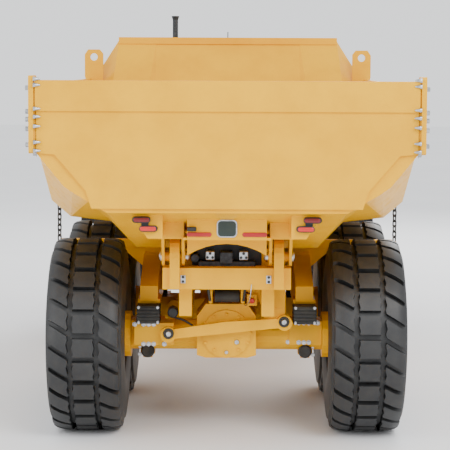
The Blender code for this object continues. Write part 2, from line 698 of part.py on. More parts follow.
def front_frame(surface):
    wall_y = HITCH_Y + 0.33
    front = FRONT_AXLE_Y + FRONT_RAIL_END
    piece = box(
        (-FRONT_WALL_HALF, FRONT_WALL_HALF),
        (wall_y, wall_y + 0.12),
        (HITCH_Z - 0.30, FRONT_RAIL_TOP + 0.06),
    )
    for up, base in ((1.0, HITCH_Z + HITCH_HALF_HEIGHT), (-1.0, HITCH_Z - HITCH_HALF_HEIGHT)):
        near = base + up * MOVING_GAP
        outline = arc((0.0, HITCH_Y), 0.14, 180.0, 360.0, 8) + [(0.30, wall_y + 0.05), (-0.30, wall_y + 0.05)]
        unite(piece, plate("Z", near + up * LUG_THICKNESS / 2.0, LUG_THICKNESS, outline))
    pin = rod(
        (0.0, HITCH_Y, HITCH_Z - HITCH_HALF_HEIGHT - 0.10),
        (0.0, HITCH_Y, HITCH_Z + HITCH_HALF_HEIGHT + 0.10),
        HITCH_PIN_RADIUS,
        PIN_SEGMENTS,
    )
    rails = mirrored_pair(
        (FRONT_RAIL_OUTER - 0.10, FRONT_RAIL_OUTER - 0.005),
        (wall_y + 0.06, front),
        (FRONT_RAIL_BOTTOM, FRONT_RAIL_TOP),
    )
    unite(piece, pin, *rails)
    for middle in (FRONT_AXLE_Y - 0.75, FRONT_AXLE_Y + 0.75, front - 0.10):
        height = (FRONT_RAIL_BOTTOM + 0.05, FRONT_RAIL_TOP - 0.05)
        brace = box((-0.32, 0.32), (middle - 0.06, middle + 0.06), height)
        unite(piece, brace)
    for side, _ in SIDES:
        base_y = HITCH_Y + STEER_BASE[1]
        ear_top = HITCH_Z - STEER_EYE_HALF - SEAT_GAP * 3.0
        ear = box(
            (side * (FRONT_RAIL_OUTER - 0.06), side * (STEER_BASE[0] + 0.06)),
            (base_y - 0.03, base_y + 0.06),
            (ear_top - 0.04, ear_top),
        )
        steer_pin = rod(
            (side * STEER_BASE[0], base_y, ear_top - 0.02),
            (side * STEER_BASE[0], base_y, HITCH_Z + STEER_EYE_HALF + 0.01),
            0.022,
            PIN_SEGMENTS,
        )
        strut_top = box(
            (side * (FRONT_RAIL_OUTER - 0.05), side * 0.70),
            (FRONT_AXLE_Y - 0.10, FRONT_AXLE_Y + 0.10),
            (FRONT_RAIL_BOTTOM + 0.25 + SEAT_GAP, FRONT_RAIL_TOP + 0.08),
        )
        unite(piece, ear, steer_pin, strut_top)
        for bracket_y in (FRONT_AXLE_Y - FENDER_BRACKET, FRONT_AXLE_Y + FENDER_BRACKET):
            outrigger = box(
                (side * (FRONT_RAIL_OUTER - 0.05), side * (FENDER_INNER - 0.01)),
                (bracket_y - 0.04, bracket_y + 0.04),
                (FRONT_RAIL_TOP - 0.07, FRONT_RAIL_TOP - 0.01),
            )
            post = box(
                (side * (FENDER_INNER - 0.05), side * (FENDER_INNER - SEAT_GAP)),
                (bracket_y - 0.039, bracket_y + 0.039),
                (FRONT_RAIL_TOP - 0.05, AXLE_Z + 0.62),
            )
            unite(piece, outrigger, post)
        for mount_y in (CAB_REAR_Y + 0.20, CAB_REAR_Y + CAB_LENGTH - 0.20):
            mount = box(
                (side * (FRONT_RAIL_OUTER - 0.09), side * (FRONT_RAIL_OUTER + 0.05)),
                (mount_y - 0.06, mount_y + 0.06),
                (FRONT_RAIL_TOP - 0.03, CAB_FLOOR - CAB_WALL - SEAT_GAP),
            )
            unite(piece, mount)
    exhaust_foot = box(
        (EXHAUST_X - 0.06, -FRONT_WALL_HALF + 0.03),
        (EXHAUST_Y - 0.06, wall_y + 0.06),
        (FRONT_RAIL_TOP - 0.02, FRONT_RAIL_TOP + 0.05),
    )
    unite(piece, exhaust_foot)
    return finish(piece, "front_frame", surface, (0.0, HITCH_Y, HITCH_Z))


# ---------------------------------------------------------------- front mudguards, tanks, bumper

FENDER_INNER = 0.99
FENDER_RADIUS = TYRE_RADIUS + 0.125
FENDER_THICKNESS = 0.03
FENDER_REAR_ANGLE = 147.0
FENDER_FRONT_ANGLE = 28.0
FENDER_BRACKET = TYRE_RADIUS * 0.96       # front axle to the mudguard's brackets, both ways
CAB_REAR_Y = FRONT_AXLE_Y + CAB_REAR_FROM_AXLE
CAB_WALL = 0.05
EXHAUST_X = -0.66
EXHAUST_Y = HITCH_Y + 0.23


def fender(surface, side, side_name):
    """A front mudguard: an arched shell with a rear edge that hangs over the tyre."""
    centre = (FRONT_AXLE_Y, AXLE_Z)
    outer = arc(centre, FENDER_RADIUS + FENDER_THICKNESS, FENDER_FRONT_ANGLE, FENDER_REAR_ANGLE, 12)
    inner = arc(centre, FENDER_RADIUS, FENDER_REAR_ANGLE, FENDER_FRONT_ANGLE, 12)
    width = FENDER_HALF_WIDTH - FENDER_INNER
    piece = plate("X", side * (FENDER_INNER + width / 2.0), width, outer + inner)
    step = box(
        (side * 1.02, side * 1.70),
        (FRONT_AXLE_Y + TYRE_RADIUS + 0.06, FRONT_AXLE_Y + TYRE_RADIUS + 0.10),
        (0.55, AXLE_Z + 0.56),
    )
    shelf = box(
        (side * 1.015, side * 1.705),
        (FRONT_AXLE_Y + TYRE_RADIUS - 0.03, FRONT_AXLE_Y + TYRE_RADIUS + 0.12),
        (AXLE_Z + 0.505, AXLE_Z + 0.565),
    )
    tread = box(
        (side * 1.021, side * 1.699),
        (FRONT_AXLE_Y + TYRE_RADIUS + 0.061, FRONT_AXLE_Y + TYRE_RADIUS + 0.34),
        (0.56, 0.60),
    )
    upper_tread = box(
        (side * 1.021, side * 1.699),
        (FRONT_AXLE_Y + TYRE_RADIUS + 0.062, FRONT_AXLE_Y + TYRE_RADIUS + 0.28),
        (1.00, 1.04),
    )
    unite(piece, shelf, step, tread, upper_tread)
    return finish(piece, f"fender_{side_name}", surface)


def tanks(surfaces):
    for side, name, height in ((LEFT, "fuel_tank", 0.62), (RIGHT, "hydraulic_tank", 0.55)):
        low_y = HITCH_Y + 0.16
        high_y = FRONT_AXLE_Y - TYRE_RADIUS - 0.06
        piece = box((side * 0.78, side * 1.22), (low_y, high_y), (0.95, 0.95 + height))
        soften(piece, 0.03)
        strap = box(
            (side * (FRONT_WALL_HALF + SEAT_GAP), side * 0.80),
            (low_y + 0.18, HITCH_Y + 0.38),
            (1.30, 1.36),
        )
        unite(piece, strap)
        finish(piece, name, surfaces["dark"])


def soften(piece, width):
    """Round a piece's edges."""
    bevel = piece.modifiers.new("Bevel", "BEVEL")
    bevel.width = width
    bevel.segments = 1
    apply_modifier(piece, bevel)


def front_bumper(surface):
    front = FRONT_FACE_Y
    piece = box((-1.22, 1.22), (front - 0.24, front), (0.72, 1.12))
    soften(piece, 0.03)
    arms = mirrored_pair(
        (FRONT_RAIL_OUTER - 0.10, FRONT_RAIL_OUTER - 0.005),
        (FRONT_AXLE_Y + FRONT_RAIL_END + SEAT_GAP, front - 0.10),
        (0.95, HOOD_HINGE[1] + HOOD_PIN_RADIUS + MOVING_GAP),
    )
    unite(piece, *arms)
    for side, _ in SIDES:
        pin = rod((side * 0.36, *HOOD_HINGE), (side * 0.54, *HOOD_HINGE), HOOD_PIN_RADIUS, PIN_SEGMENTS)
        unite(piece, pin)
    return finish(piece, "front_bumper", surface)


def exhaust(surface):
    foot = FRONT_RAIL_TOP + 0.05 + SEAT_GAP
    piece = rod((EXHAUST_X, EXHAUST_Y, foot), (EXHAUST_X, EXHAUST_Y, EXHAUST_TOP), 0.034, 12)
    muffler = rod((EXHAUST_X, EXHAUST_Y, 1.75), (EXHAUST_X, EXHAUST_Y, 2.75), 0.11, 14)
    mouth = (EXHAUST_X, EXHAUST_Y, EXHAUST_TOP - 0.001)
    flare = rod((EXHAUST_X, EXHAUST_Y, EXHAUST_TOP - 0.05), mouth, 0.034, 12, 0.05)
    unite(piece, muffler, flare)
    return finish(piece, "exhaust_stack", surface, smooth=True)


# ---------------------------------------------------------------- cab

CAB_HALF = CAB_WIDTH / 2.0
CAB_FRONT_Y = CAB_REAR_Y + CAB_LENGTH
CAB_TOP = CAB_FLOOR + CAB_HEIGHT
GLASS = 0.012
DOOR_Y = (CAB_REAR_Y + 0.16, CAB_FRONT_Y - 0.34)
DOOR_Z = (CAB_FLOOR + 0.02, CAB_TOP - 0.16)
DOOR_GAP = 0.008
DOOR_THICKNESS = 0.045
WINDOW_Z = (CAB_FLOOR + 0.62, CAB_TOP - 0.20)
FRONT_SILL = 0.50
REAR_SILL = 0.66
DOOR_HINGE = (-CAB_HALF - 0.018, DOOR_Y[0] - 0.012)
DOOR_HINGE_Z = (DOOR_Z[0] + 0.30, DOOR_Z[1] - 0.30)


def cab_shell(surface):
    """The cab's hollow body with its door and window openings."""
    piece = box((-CAB_HALF, CAB_HALF), (CAB_REAR_Y, CAB_FRONT_Y), (CAB_FLOOR - CAB_WALL, CAB_TOP - CAB_WALL))
    inside = box(
        (-CAB_HALF + CAB_WALL, CAB_HALF - CAB_WALL),
        (CAB_REAR_Y + CAB_WALL, CAB_FRONT_Y - CAB_WALL),
        (CAB_FLOOR, CAB_TOP),
    )
    front_height = (CAB_FLOOR + FRONT_SILL, WINDOW_Z[1])
    front = box((-CAB_HALF + 0.11, CAB_HALF - 0.11), (CAB_FRONT_Y - 0.20, CAB_FRONT_Y + 0.05), front_height)
    rear_height = (CAB_FLOOR + REAR_SILL, WINDOW_Z[1])
    rear = box((-CAB_HALF + 0.14, CAB_HALF - 0.14), (CAB_REAR_Y - 0.05, CAB_REAR_Y + 0.20), rear_height)
    right = box((CAB_HALF - 0.20, CAB_HALF + 0.05), (CAB_REAR_Y + 0.18, CAB_FRONT_Y - 0.18), WINDOW_Z)
    door = box(
        (-CAB_HALF + 0.20, -CAB_HALF - 0.05),
        (DOOR_Y[0] - DOOR_GAP, DOOR_Y[1] + DOOR_GAP),
        (DOOR_Z[0] - DOOR_GAP, DOOR_Z[1] + DOOR_GAP),
    )
    cut(piece, inside, front, rear, right, door)
    for height in DOOR_HINGE_Z:
        top = height - 0.04 - SEAT_GAP
        knuckle = rod((*DOOR_HINGE[:2], top - 0.04), (*DOOR_HINGE[:2], top), 0.014, 10)
        leaf = box(
            (DOOR_HINGE[0], -CAB_HALF + 0.004),
            (DOOR_HINGE[1] - 0.040, DOOR_HINGE[1] + 0.002),
            (top - 0.038, top - 0.002),
        )
        unite(piece, leaf, knuckle)
    return finish(piece, "cab_shell", surface)


def cab_roof(surface):
    piece = box(
        (-CAB_HALF - 0.03, CAB_HALF + 0.03),
        (CAB_REAR_Y - 0.03, CAB_FRONT_Y + 0.06),
        (CAB_TOP - CAB_WALL + SEAT_GAP, CAB_TOP + 0.07),
    )
    soften(piece, 0.03)
    return finish(piece, "cab_roof", surface)


def cab_glass(surface):
    """The fixed panes, each set in its opening with a hairline gap."""
    gap = SEAT_GAP
    front = box(
        (-CAB_HALF + 0.11 + gap, CAB_HALF - 0.11 - gap),
        (CAB_FRONT_Y - 0.03, CAB_FRONT_Y - 0.03 + GLASS),
        (CAB_FLOOR + FRONT_SILL + gap, WINDOW_Z[1] - gap),
    )
    finish(front, "windscreen", surface)
    rear = box(
        (-CAB_HALF + 0.14 + gap, CAB_HALF - 0.14 - gap),
        (CAB_REAR_Y + 0.02, CAB_REAR_Y + 0.02 + GLASS),
        (CAB_FLOOR + REAR_SILL + gap, WINDOW_Z[1] - gap),
    )
    finish(rear, "rear_window", surface)
    right = box(
        (CAB_HALF - 0.03, CAB_HALF - 0.03 + GLASS),
        (CAB_REAR_Y + 0.18 + gap, CAB_FRONT_Y - 0.18 - gap),
        (WINDOW_Z[0] + gap, WINDOW_Z[1] - gap),
    )
    finish(right, "side_window_right", surface)


def cab_door(surfaces):
    """The left door: hinged at its rear edge, with its own pane and hinge barrels."""
    outer = -CAB_HALF
    hinge = DOOR_HINGE
    piece = box((outer, outer + DOOR_THICKNESS), DOOR_Y, DOOR_Z)
    opening_y = (DOOR_Y[0] + 0.09, DOOR_Y[1] - 0.09)
    opening = box((outer - 0.05, outer + 0.10), opening_y, (WINDOW_Z[0], DOOR_Z[1] - 0.09))
    cut(piece, opening)
    for height in DOOR_HINGE_Z:
        barrel = rod((hinge[0], hinge[1], height - 0.04), (hinge[0], hinge[1], height + 0.04), 0.014, 10)
        leaf_z = (height - 0.035, height + 0.035)
        leaf = box((outer - 0.020, outer - 0.006), (hinge[1], DOOR_Y[0] + 0.05), leaf_z)
        foot_y = (DOOR_Y[0] + 0.004, DOOR_Y[0] + 0.046)
        foot = box((outer - 0.012, outer + 0.004), foot_y, (height - 0.03, height + 0.03))
        unite(piece, leaf, foot, barrel)
    pivot = (hinge[0], hinge[1], DOOR_Z[0])
    finish(piece, "cab_door", surfaces["yellow"], pivot)
    pane = box(
        (outer + 0.016, outer + 0.016 + GLASS),
        (DOOR_Y[0] + 0.09 + SEAT_GAP, DOOR_Y[1] - 0.09 - SEAT_GAP),
        (WINDOW_Z[0] + SEAT_GAP, DOOR_Z[1] - 0.09 - SEAT_GAP),
    )
    finish(pane, "cab_door_window", surfaces["glass"], pivot)


def operator_seat(surface):
    middle = CAB_REAR_Y + 0.55
    piece = box((-0.16, 0.16), (middle - 0.16, middle + 0.16), (CAB_FLOOR + SEAT_GAP, CAB_FLOOR + 0.36))
    cushion = box((-0.26, 0.26), (middle - 0.24, middle + 0.28), (CAB_FLOOR + 0.34, CAB_FLOOR + 0.48))
    back = box((-0.25, 0.25), (middle - 0.30, middle - 0.18), (CAB_FLOOR + 0.36, CAB_FLOOR + 1.15))
    unite(piece, cushion, back)
    return finish(piece, "operator_seat", surface)


def steering_console(surface):
    dash_back = CAB_FRONT_Y - CAB_WALL - SEAT_GAP
    piece = box((-0.60, 0.60), (dash_back - 0.26, dash_back), (CAB_FLOOR + 0.30, CAB_FLOOR + 0.72))
    column_y = (dash_back - 0.25, dash_back - 0.10)
    column = box((-0.07, 0.07), column_y, (CAB_FLOOR + SEAT_GAP, CAB_FLOOR + 0.40))
    shaft_foot = (0.0, dash_back - 0.20, CAB_FLOOR + 0.60)
    shaft = rod(shaft_foot, (0.0, dash_back - 0.36, CAB_FLOOR + 0.86), 0.03, 10)
    bpy.ops.mesh.primitive_torus_add(
        major_segments=18,
        minor_segments=6,
        major_radius=0.20,
        minor_radius=0.016,
        location=(0.0, dash_back - 0.36, CAB_FLOOR + 0.86),
        rotation=(math.radians(32.0), 0.0, 0.0),
    )
    wheel = bake(bpy.context.object)
    spoke = box((-0.20, 0.20), (dash_back - 0.375, dash_back - 0.345), (CAB_FLOOR + 0.845, CAB_FLOOR + 0.875))
    unite(piece, column, shaft, wheel, spoke)
    return finish(piece, "steering_console", surface)


def mirror(surface, side, side_name):
    """A door mirror on its arm from the cab's front pillar."""
    root_x = side * (CAB_HALF + SEAT_GAP)
    arm_y = CAB_FRONT_Y - 0.10
    arm = rod((side * (CAB_HALF + 0.012), arm_y, 2.95), (side * 1.42, arm_y + 0.30, 2.95), 0.018, 8)
    head = box((side * 1.36, side * 1.62), (arm_y + 0.26, arm_y + 0.33), (2.62, 3.12))
    foot = box((root_x, side * (CAB_HALF + 0.02)), (arm_y - 0.05, arm_y + 0.05), (2.90, 3.00))
    unite(head, arm, foot)
    return finish(head, f"mirror_{side_name}", surface)


# ---------------------------------------------------------------- engine and hood

HOOD_REAR_Y = CAB_FRONT_Y + 0.02
HOOD_FRONT_Y = FRONT_AXLE_Y + 2.58
HOOD_HINGE = (HOOD_FRONT_Y - 0.02, 1.24)
HOOD_PIN_RADIUS = 0.018


def hood(surfaces):
    """The one-piece hood, open underneath and at the back, and its grille."""
    outline = [
        (HOOD_REAR_Y, 1.62),
        (HOOD_FRONT_Y - 0.55, 1.50),
        (HOOD_FRONT_Y - 0.10, 1.36),
        (HOOD_FRONT_Y, 1.36),
        (HOOD_FRONT_Y, 1.86),
        (HOOD_FRONT_Y - 0.28, 2.16),
        (HOOD_REAR_Y, 2.62),
    ]
    piece = plate("X", 0.0, HOOD_WIDTH, outline)
    inside = [
        (HOOD_REAR_Y - 0.10, 1.30),
        (HOOD_FRONT_Y - 0.04, 1.30),
        (HOOD_FRONT_Y - 0.04, 1.845),
        (HOOD_FRONT_Y - 0.30, 2.125),
        (HOOD_REAR_Y - 0.10, 2.59),
    ]
    cut(piece, plate("X", 0.0, HOOD_WIDTH - 0.08, inside))
    mouth = box((-0.56, 0.56), (HOOD_FRONT_Y - 0.20, HOOD_FRONT_Y + 0.10), (1.44, 1.80))
    cut(piece, mouth)
    pivot = (0.0, *HOOD_HINGE)
    for side, _ in SIDES:
        arm = plate(
            "X",
            side * 0.50,
            0.03,
            [(HOOD_HINGE[0] - 0.035, HOOD_HINGE[1] - 0.035), (HOOD_FRONT_Y - 0.004, HOOD_HINGE[1] - 0.035),
             (HOOD_FRONT_Y - 0.004, 1.42), (HOOD_HINGE[0] - 0.035, 1.42)],
        )
        unite(piece, arm)
        bore_ends = ((side * 0.40, *HOOD_HINGE), (side * 0.60, *HOOD_HINGE))
        bore = rod(*bore_ends, hole_radius(HOOD_PIN_RADIUS, PIN_GAP), PIN_SEGMENTS)
        cut(piece, bore)
    finish(piece, "hood", surfaces["yellow"], pivot)
    grille = box(
        (-0.56 + SEAT_GAP, 0.56 - SEAT_GAP),
        (HOOD_FRONT_Y - 0.034, HOOD_FRONT_Y - 0.012),
        (1.44 + SEAT_GAP, 1.80 - SEAT_GAP),
    )
    finish(grille, "grille", surfaces["dark"], pivot)


def engine(surface):
    piece = box((-0.38, 0.38), (HOOD_REAR_Y + 0.08, HOOD_FRONT_Y - 0.55), (FRONT_RAIL_TOP + SEAT_GAP, 2.02))
    keel = box(
        (-0.27, 0.27),
        (FRONT_AXLE_Y + 0.90, HOOD_FRONT_Y - 0.60),
        (FRONT_RAIL_BOTTOM + 0.02, FRONT_RAIL_TOP + 0.02),
    )
    unite(piece, keel)
    return finish(piece, "engine_block", surface)


# ---------------------------------------------------------------- dump body

TUB_REAR_FROM_AXLE = -1.545
CHUTE_KNEE_FROM_AXLE = -0.30
TUB_KNEE_FROM_AXLE = 2.90
TUB_FRONT_FROM_AXLE = 4.28
TUB_RISE = 0.44               # how far the rear chute's floor climbs
LAMP_FROM_AXLE = -1.46
LAMP_HALF = 0.028
PIVOT_PIN_RADIUS = 0.045
CHAIN_ARM_END = 0.07


def tub_sections():
    """Right-half outlines of the tub's inner skin, from its rear edge to the headboard."""
    floor = TUB_FLOOR
    top = TUB_TOP
    rear = [
        (0.0, floor + TUB_RISE),
        (1.05, floor + TUB_RISE),
        (1.22, floor + TUB_RISE + 0.095),
        (1.36, floor + TUB_RISE + 0.175),
        (TUB_HALF - 0.02, floor + 0.925),
        (TUB_HALF - 0.02, top),
    ]
    main = [
        (0.0, floor),
        (0.86, floor),
        (1.10, floor + 0.25),
        (TUB_HALF - 0.17, floor + 0.295),
        (TUB_HALF, floor + 0.44),
        (TUB_HALF, top),
    ]
    front = [
        (0.0, HEADBOARD_TOP),
        (0.86, HEADBOARD_TOP),
        (1.10, HEADBOARD_TOP),
        (1.31, HEADBOARD_TOP),
        (TUB_HALF - 0.01, top - 0.05),
        (TUB_HALF - 0.01, top),
    ]
    return (
        (REAR_AXLE_Y + TUB_REAR_FROM_AXLE, rear),
        (REAR_AXLE_Y + CHUTE_KNEE_FROM_AXLE, main),
        (REAR_AXLE_Y + TUB_KNEE_FROM_AXLE, main),
        (REAR_AXLE_Y + TUB_FRONT_FROM_AXLE, front),
    )


def tub_shell():
    """The open skin between the sections, mirrored and given its plate thickness."""
    shape = bmesh.new()
    rows = []
    for along_y, outline in tub_sections():
        rows.append([shape.verts.new((across, along_y, up)) for across, up in outline])
    for near, far in zip(rows, rows[1:]):
        for index in range(len(near) - 1):
            shape.faces.new((near[index], near[index + 1], far[index + 1], far[index]))
    mesh = bpy.data.meshes.new("tub")
    shape.to_mesh(mesh)
    shape.free()
    piece = bpy.data.objects.new("tub", mesh)
    bpy.context.collection.objects.link(piece)
    mirror_half = piece.modifiers.new("Mirror", "MIRROR")
    mirror_half.merge_threshold = 0.0001
    apply_modifier(piece, mirror_half)
    skin = piece.modifiers.new("Solidify", "SOLIDIFY")
    skin.thickness = TUB_WALL
    skin.offset = -1.0
    skin.use_even_offset = True
    apply_modifier(piece, skin)
    flat = piece.modifiers.new("Triangulate", "TRIANGULATE")
    apply_modifier(piece, flat)
    return piece


def chute_underside(from_rear_axle):
    """Height of the tub floor's underside above the rear axle's stretch."""
    share = (CHUTE_KNEE_FROM_AXLE - from_rear_axle) / (CHUTE_KNEE_FROM_AXLE - TUB_REAR_FROM_AXLE)
    return TUB_FLOOR + TUB_RISE * max(0.0, share) - TUB_WALL


def inside_chute(along_y):
    """A height within the tub floor's own thickness, for what is welded under it."""
    return chute_underside(along_y - REAR_AXLE_Y) + TUB_WALL / 2.0


def gate_swing():
    """What the tailgate's top edge needs of the tub's rear corners as it swings open."""
    rear = REAR_AXLE_Y + TUB_REAR_FROM_AXLE
    low_z = PIVOT_Z + 0.064
    high_z = PIVOT_Z + 0.384
    outline = [(rear - 0.10, low_z), (rear - 0.004, low_z), (rear + 0.078, high_z), (rear - 0.10, high_z)]
    return plate("X", 0.0, (TUB_HALF + 0.15) * 2.0, outline)


def dump_body(surface):
    piece = tub_shell()
    skin = TUB_WALL / 2.0
    rail_z = (TUB_TOP - 0.08, TUB_TOP + 0.012)
    rails = mirrored_pair(
        (TUB_HALF - 0.035, TUB_HALF + TUB_WALL + 0.001),
        (REAR_AXLE_Y + TUB_REAR_FROM_AXLE + 0.004, REAR_AXLE_Y + TUB_FRONT_FROM_AXLE - 0.30),
        rail_z,
    )
    header = box(
        (-1.315, 1.315),
        (REAR_AXLE_Y + TUB_FRONT_FROM_AXLE - 0.05, REAR_AXLE_Y + TUB_FRONT_FROM_AXLE + 0.02),
        (HEADBOARD_TOP - 0.05, HEADBOARD_TOP + 0.03),
    )
    beams = mirrored_pair(
        (0.33, 0.43),
        (HINGE_Y + 0.22, REAR_AXLE_Y + TUB_KNEE_FROM_AXLE + 0.04),
        (RAIL_TOP + MOVING_GAP, TUB_FLOOR - skin),
    )
    fittings = [*rails, header, *beams, *rear_plates()]
    bores = []
    for side, _ in SIDES:
        fittings.extend((*tub_hinge(side), tub_hoist_lug(side), *tub_side_fittings(side)))
        bore = rod(
            (side * (HINGE_SPACING - 0.15), HINGE_Y, TUB_HINGE_Z),
            (side * (HINGE_SPACING + 0.17), HINGE_Y, TUB_HINGE_Z),
            hole_radius(HINGE_PIN_RADIUS, PIN_GAP),
            PIN_SEGMENTS,
        )
        bores.append(bore)
    unite(piece, *fittings)
    cut(piece, *bores, gate_swing())
    return finish(piece, "dump_body", surface, (0.0, HINGE_Y, TUB_HINGE_Z))


def tub_hinge(side):
    """Two ears around the frame's ear, under a box that reaches the chute's floor."""
    eye = 0.088
    back = HINGE_Y - 0.50
    low = TUB_HINGE_Z + 0.212
    ear_front = HINGE_Y + 0.12
    outline = arc((HINGE_Y, TUB_HINGE_Z), eye, 180.0, 360.0, 8)
    outline += [(ear_front, inside_chute(ear_front)), (back, inside_chute(back))]
    outline += [(back, low + 0.028), (HINGE_Y - 0.21, low + 0.013)]
    ears = []
    for offset in (-0.078, 0.109):
        ears.append(plate("X", side * (HINGE_SPACING + offset), 0.028, outline))
    block_front = HINGE_Y - 0.10
    block_back = back + 0.002
    block = plate(
        "X",
        side * (HINGE_SPACING + 0.0155),
        0.221,
        [
            (block_back, low),
            (block_front, low),
            (block_front, inside_chute(block_front)),
            (block_back, inside_chute(block_back)),
        ],
    )
    return (block, *ears)


def tub_hoist_lug(side):
    """The plate beside one hoist cylinder's upper eye."""
    eye = place(0.0, *HOIST_EYE)
    near = HOIST_X + HOIST_HALF_EYE + MOVING_GAP
    lug = plate(
        "X",
        side * (near + 0.014),
        0.028,
        arc((eye.y, eye.z), 0.065, 180.0, 360.0, 6)
        + [(eye.y + 0.14, TUB_FLOOR - 0.010), (eye.y - 0.14, TUB_FLOOR - 0.010)],
    )
    return lug


def tub_side_fittings(side):
    """The tailgate's pivot pin and the lifting eye at the headboard's corner."""
    pin = rod(
        (side * (TUB_HALF + 0.004), HINGE_Y, PIVOT_Z),
        (side * (ARM_OUTER_X - 0.002), HINGE_Y, PIVOT_Z),
        PIVOT_PIN_RADIUS,
        PIN_SEGMENTS,
    )
    boss = rod(
        (side * (TUB_HALF + 0.003), HINGE_Y, PIVOT_Z),
        (side * (ARM_INNER_X - MOVING_GAP), HINGE_Y, PIVOT_Z),
        0.09,
        16,
    )
    eye_y = REAR_AXLE_Y + TUB_FRONT_FROM_AXLE - 0.22
    eye_plate = plate(
        "Y",
        eye_y,
        0.035,
        [(side * 1.49, TUB_TOP - 0.10), (side * (TUB_HALF + 0.012), TUB_TOP - 0.10),
         (side * (TUB_HALF + 0.05), TUB_TOP + 0.04),
         (side * (TUB_HALF + 0.05), TUB_TOP + 0.30), (side * (TUB_HALF + 0.01), TUB_TOP + 0.36),
         (side * 1.53, TUB_TOP + 0.36), (side * 1.49, TUB_TOP + 0.31)],
    )
    hole_z = TUB_TOP + 0.27
    hole = rod((side * 1.60, eye_y - 0.1, hole_z), (side * 1.60, eye_y + 0.1, hole_z), 0.045, 12)
    cut(eye_plate, hole)
    return pin, boss, eye_plate


def rear_plates():
    """The badge plate, the arched plate under it and the plates behind the lamps."""
    badge_y = -1.33
    badge_top = inside_chute(REAR_AXLE_Y + badge_y + 0.03)
    badge = box(
        (-0.36, 0.36),
        (REAR_AXLE_Y + badge_y, REAR_AXLE_Y + badge_y + 0.03),
        (TUB_HINGE_Z + 0.215, badge_top),
    )
    floor_z = TUB_HINGE_Z + 0.235
    shelf = box((-0.382, 0.382), (REAR_AXLE_Y + badge_y + 0.004, HINGE_Y - 0.24), (floor_z - 0.02, floor_z))
    arch_y = HINGE_Y - 0.29
    arch = arc((0.0, TUB_HINGE_Z - 0.52), 0.67, 123.0, 57.0, 8)
    arch_plate = plate("Y", arch_y, 0.03, arch + [(0.3650, floor_z - 0.005), (-0.3650, floor_z - 0.005)])
    ties_y = (REAR_AXLE_Y + badge_y + 0.002, HINGE_Y - 0.20)
    ties = mirrored_pair((0.370, 0.396), ties_y, (TUB_HINGE_Z + 0.213, floor_z + 0.002))
    pieces = [badge, shelf, arch_plate, *ties]
    lamp_y = REAR_AXLE_Y + LAMP_FROM_AXLE + 0.001
    lamp_top = inside_chute(lamp_y)
    web_front = HINGE_Y - 0.30
    for side, _ in SIDES:
        lamp_back = plate(
            "Y",
            REAR_AXLE_Y + LAMP_FROM_AXLE,
            0.02,
            [(side * 0.575, 2.02), (side * 0.71, 2.02), (side * 0.855, lamp_top), (side * 0.575, lamp_top)],
        )
        web = plate(
            "X",
            side * 0.590,
            0.028,
            [
                (lamp_y, 2.022),
                (web_front, 2.022),
                (web_front, inside_chute(web_front)),
                (lamp_y, inside_chute(lamp_y)),
            ],
        )
        pieces.extend((lamp_back, web))
    return pieces


def tail_light(surface, side, side_name):
    """Two oval lamps on one backing strip."""
    back = REAR_AXLE_Y + LAMP_FROM_AXLE - 0.010 - SEAT_GAP
    lamps = []
    for across, up in ((0.765, 2.192), (0.700, 2.112)):
        outline = arc((side * (across - 0.055), up), LAMP_HALF, 90.0, 270.0, 5)
        outline += arc((side * (across + 0.055), up), LAMP_HALF, -90.0, 90.0, 5)
        if side < 0.0:
            outline = arc((side * (across + 0.055), up), LAMP_HALF, 90.0, 270.0, 5)
            outline += arc((side * (across - 0.055), up), LAMP_HALF, -90.0, 90.0, 5)
        lamps.append(plate("Y", back - 0.017, 0.034, outline))
    strip = box((side * 0.70, side * 0.765), (back - 0.012, back), (2.115, 2.190))
    unite(strip, *lamps)
    return finish(strip, f"tail_light_{side_name}", surface)


# ---------------------------------------------------------------- tailgate


def tailgate(surface):
    """The tailgate panel with its top beam and its two side arms."""
    gap_y = 0.012
    face = REAR_FACE_Y
    inner_y = REAR_AXLE_Y + TUB_REAR_FROM_AXLE - gap_y
    half = ARM_INNER_X - 0.012
    outline = [
        (1.065, 2.262),
        (1.365, 2.440),
        (1.444, 2.495),
        (half - 0.03, 2.760),
        (half, 2.80),
        (half, TAILGATE_TOP),
    ]
    left = [(-across, up) for across, up in reversed(outline)]
    piece = plate("Y", inner_y - 0.025, 0.05, outline + left)
    raised = [
        (1.20, 2.30),
        (1.25, 2.459),
        (1.523, 2.776),
        (half - 0.01, 2.79),
        (half - 0.01, TAILGATE_TOP - 0.01),
    ]
    raised_left = [(-across, up) for across, up in reversed(raised)]
    raised_depth = inner_y - 0.04 - face - 0.018
    unite(piece, plate("Y", (inner_y - 0.04 + face + 0.018) / 2.0, raised_depth, raised + raised_left))
    unite(piece, box((-half + 0.002, half - 0.002), (face, inner_y - 0.02), (3.16, TAILGATE_TOP - 0.002)))
    for side, _ in SIDES:
        unite(piece, tailgate_arm(side))
    for side, _ in SIDES:
        bore = rod(
            (side * (ARM_INNER_X - 0.05), HINGE_Y, PIVOT_Z),
            (side * (ARM_OUTER_X + 0.05), HINGE_Y, PIVOT_Z),
            hole_radius(PIVOT_PIN_RADIUS, PIN_GAP),
            PIN_SEGMENTS,
        )
        cut(piece, bore)
    return finish(piece, "tailgate", surface, (0.0, HINGE_Y, PIVOT_Z))


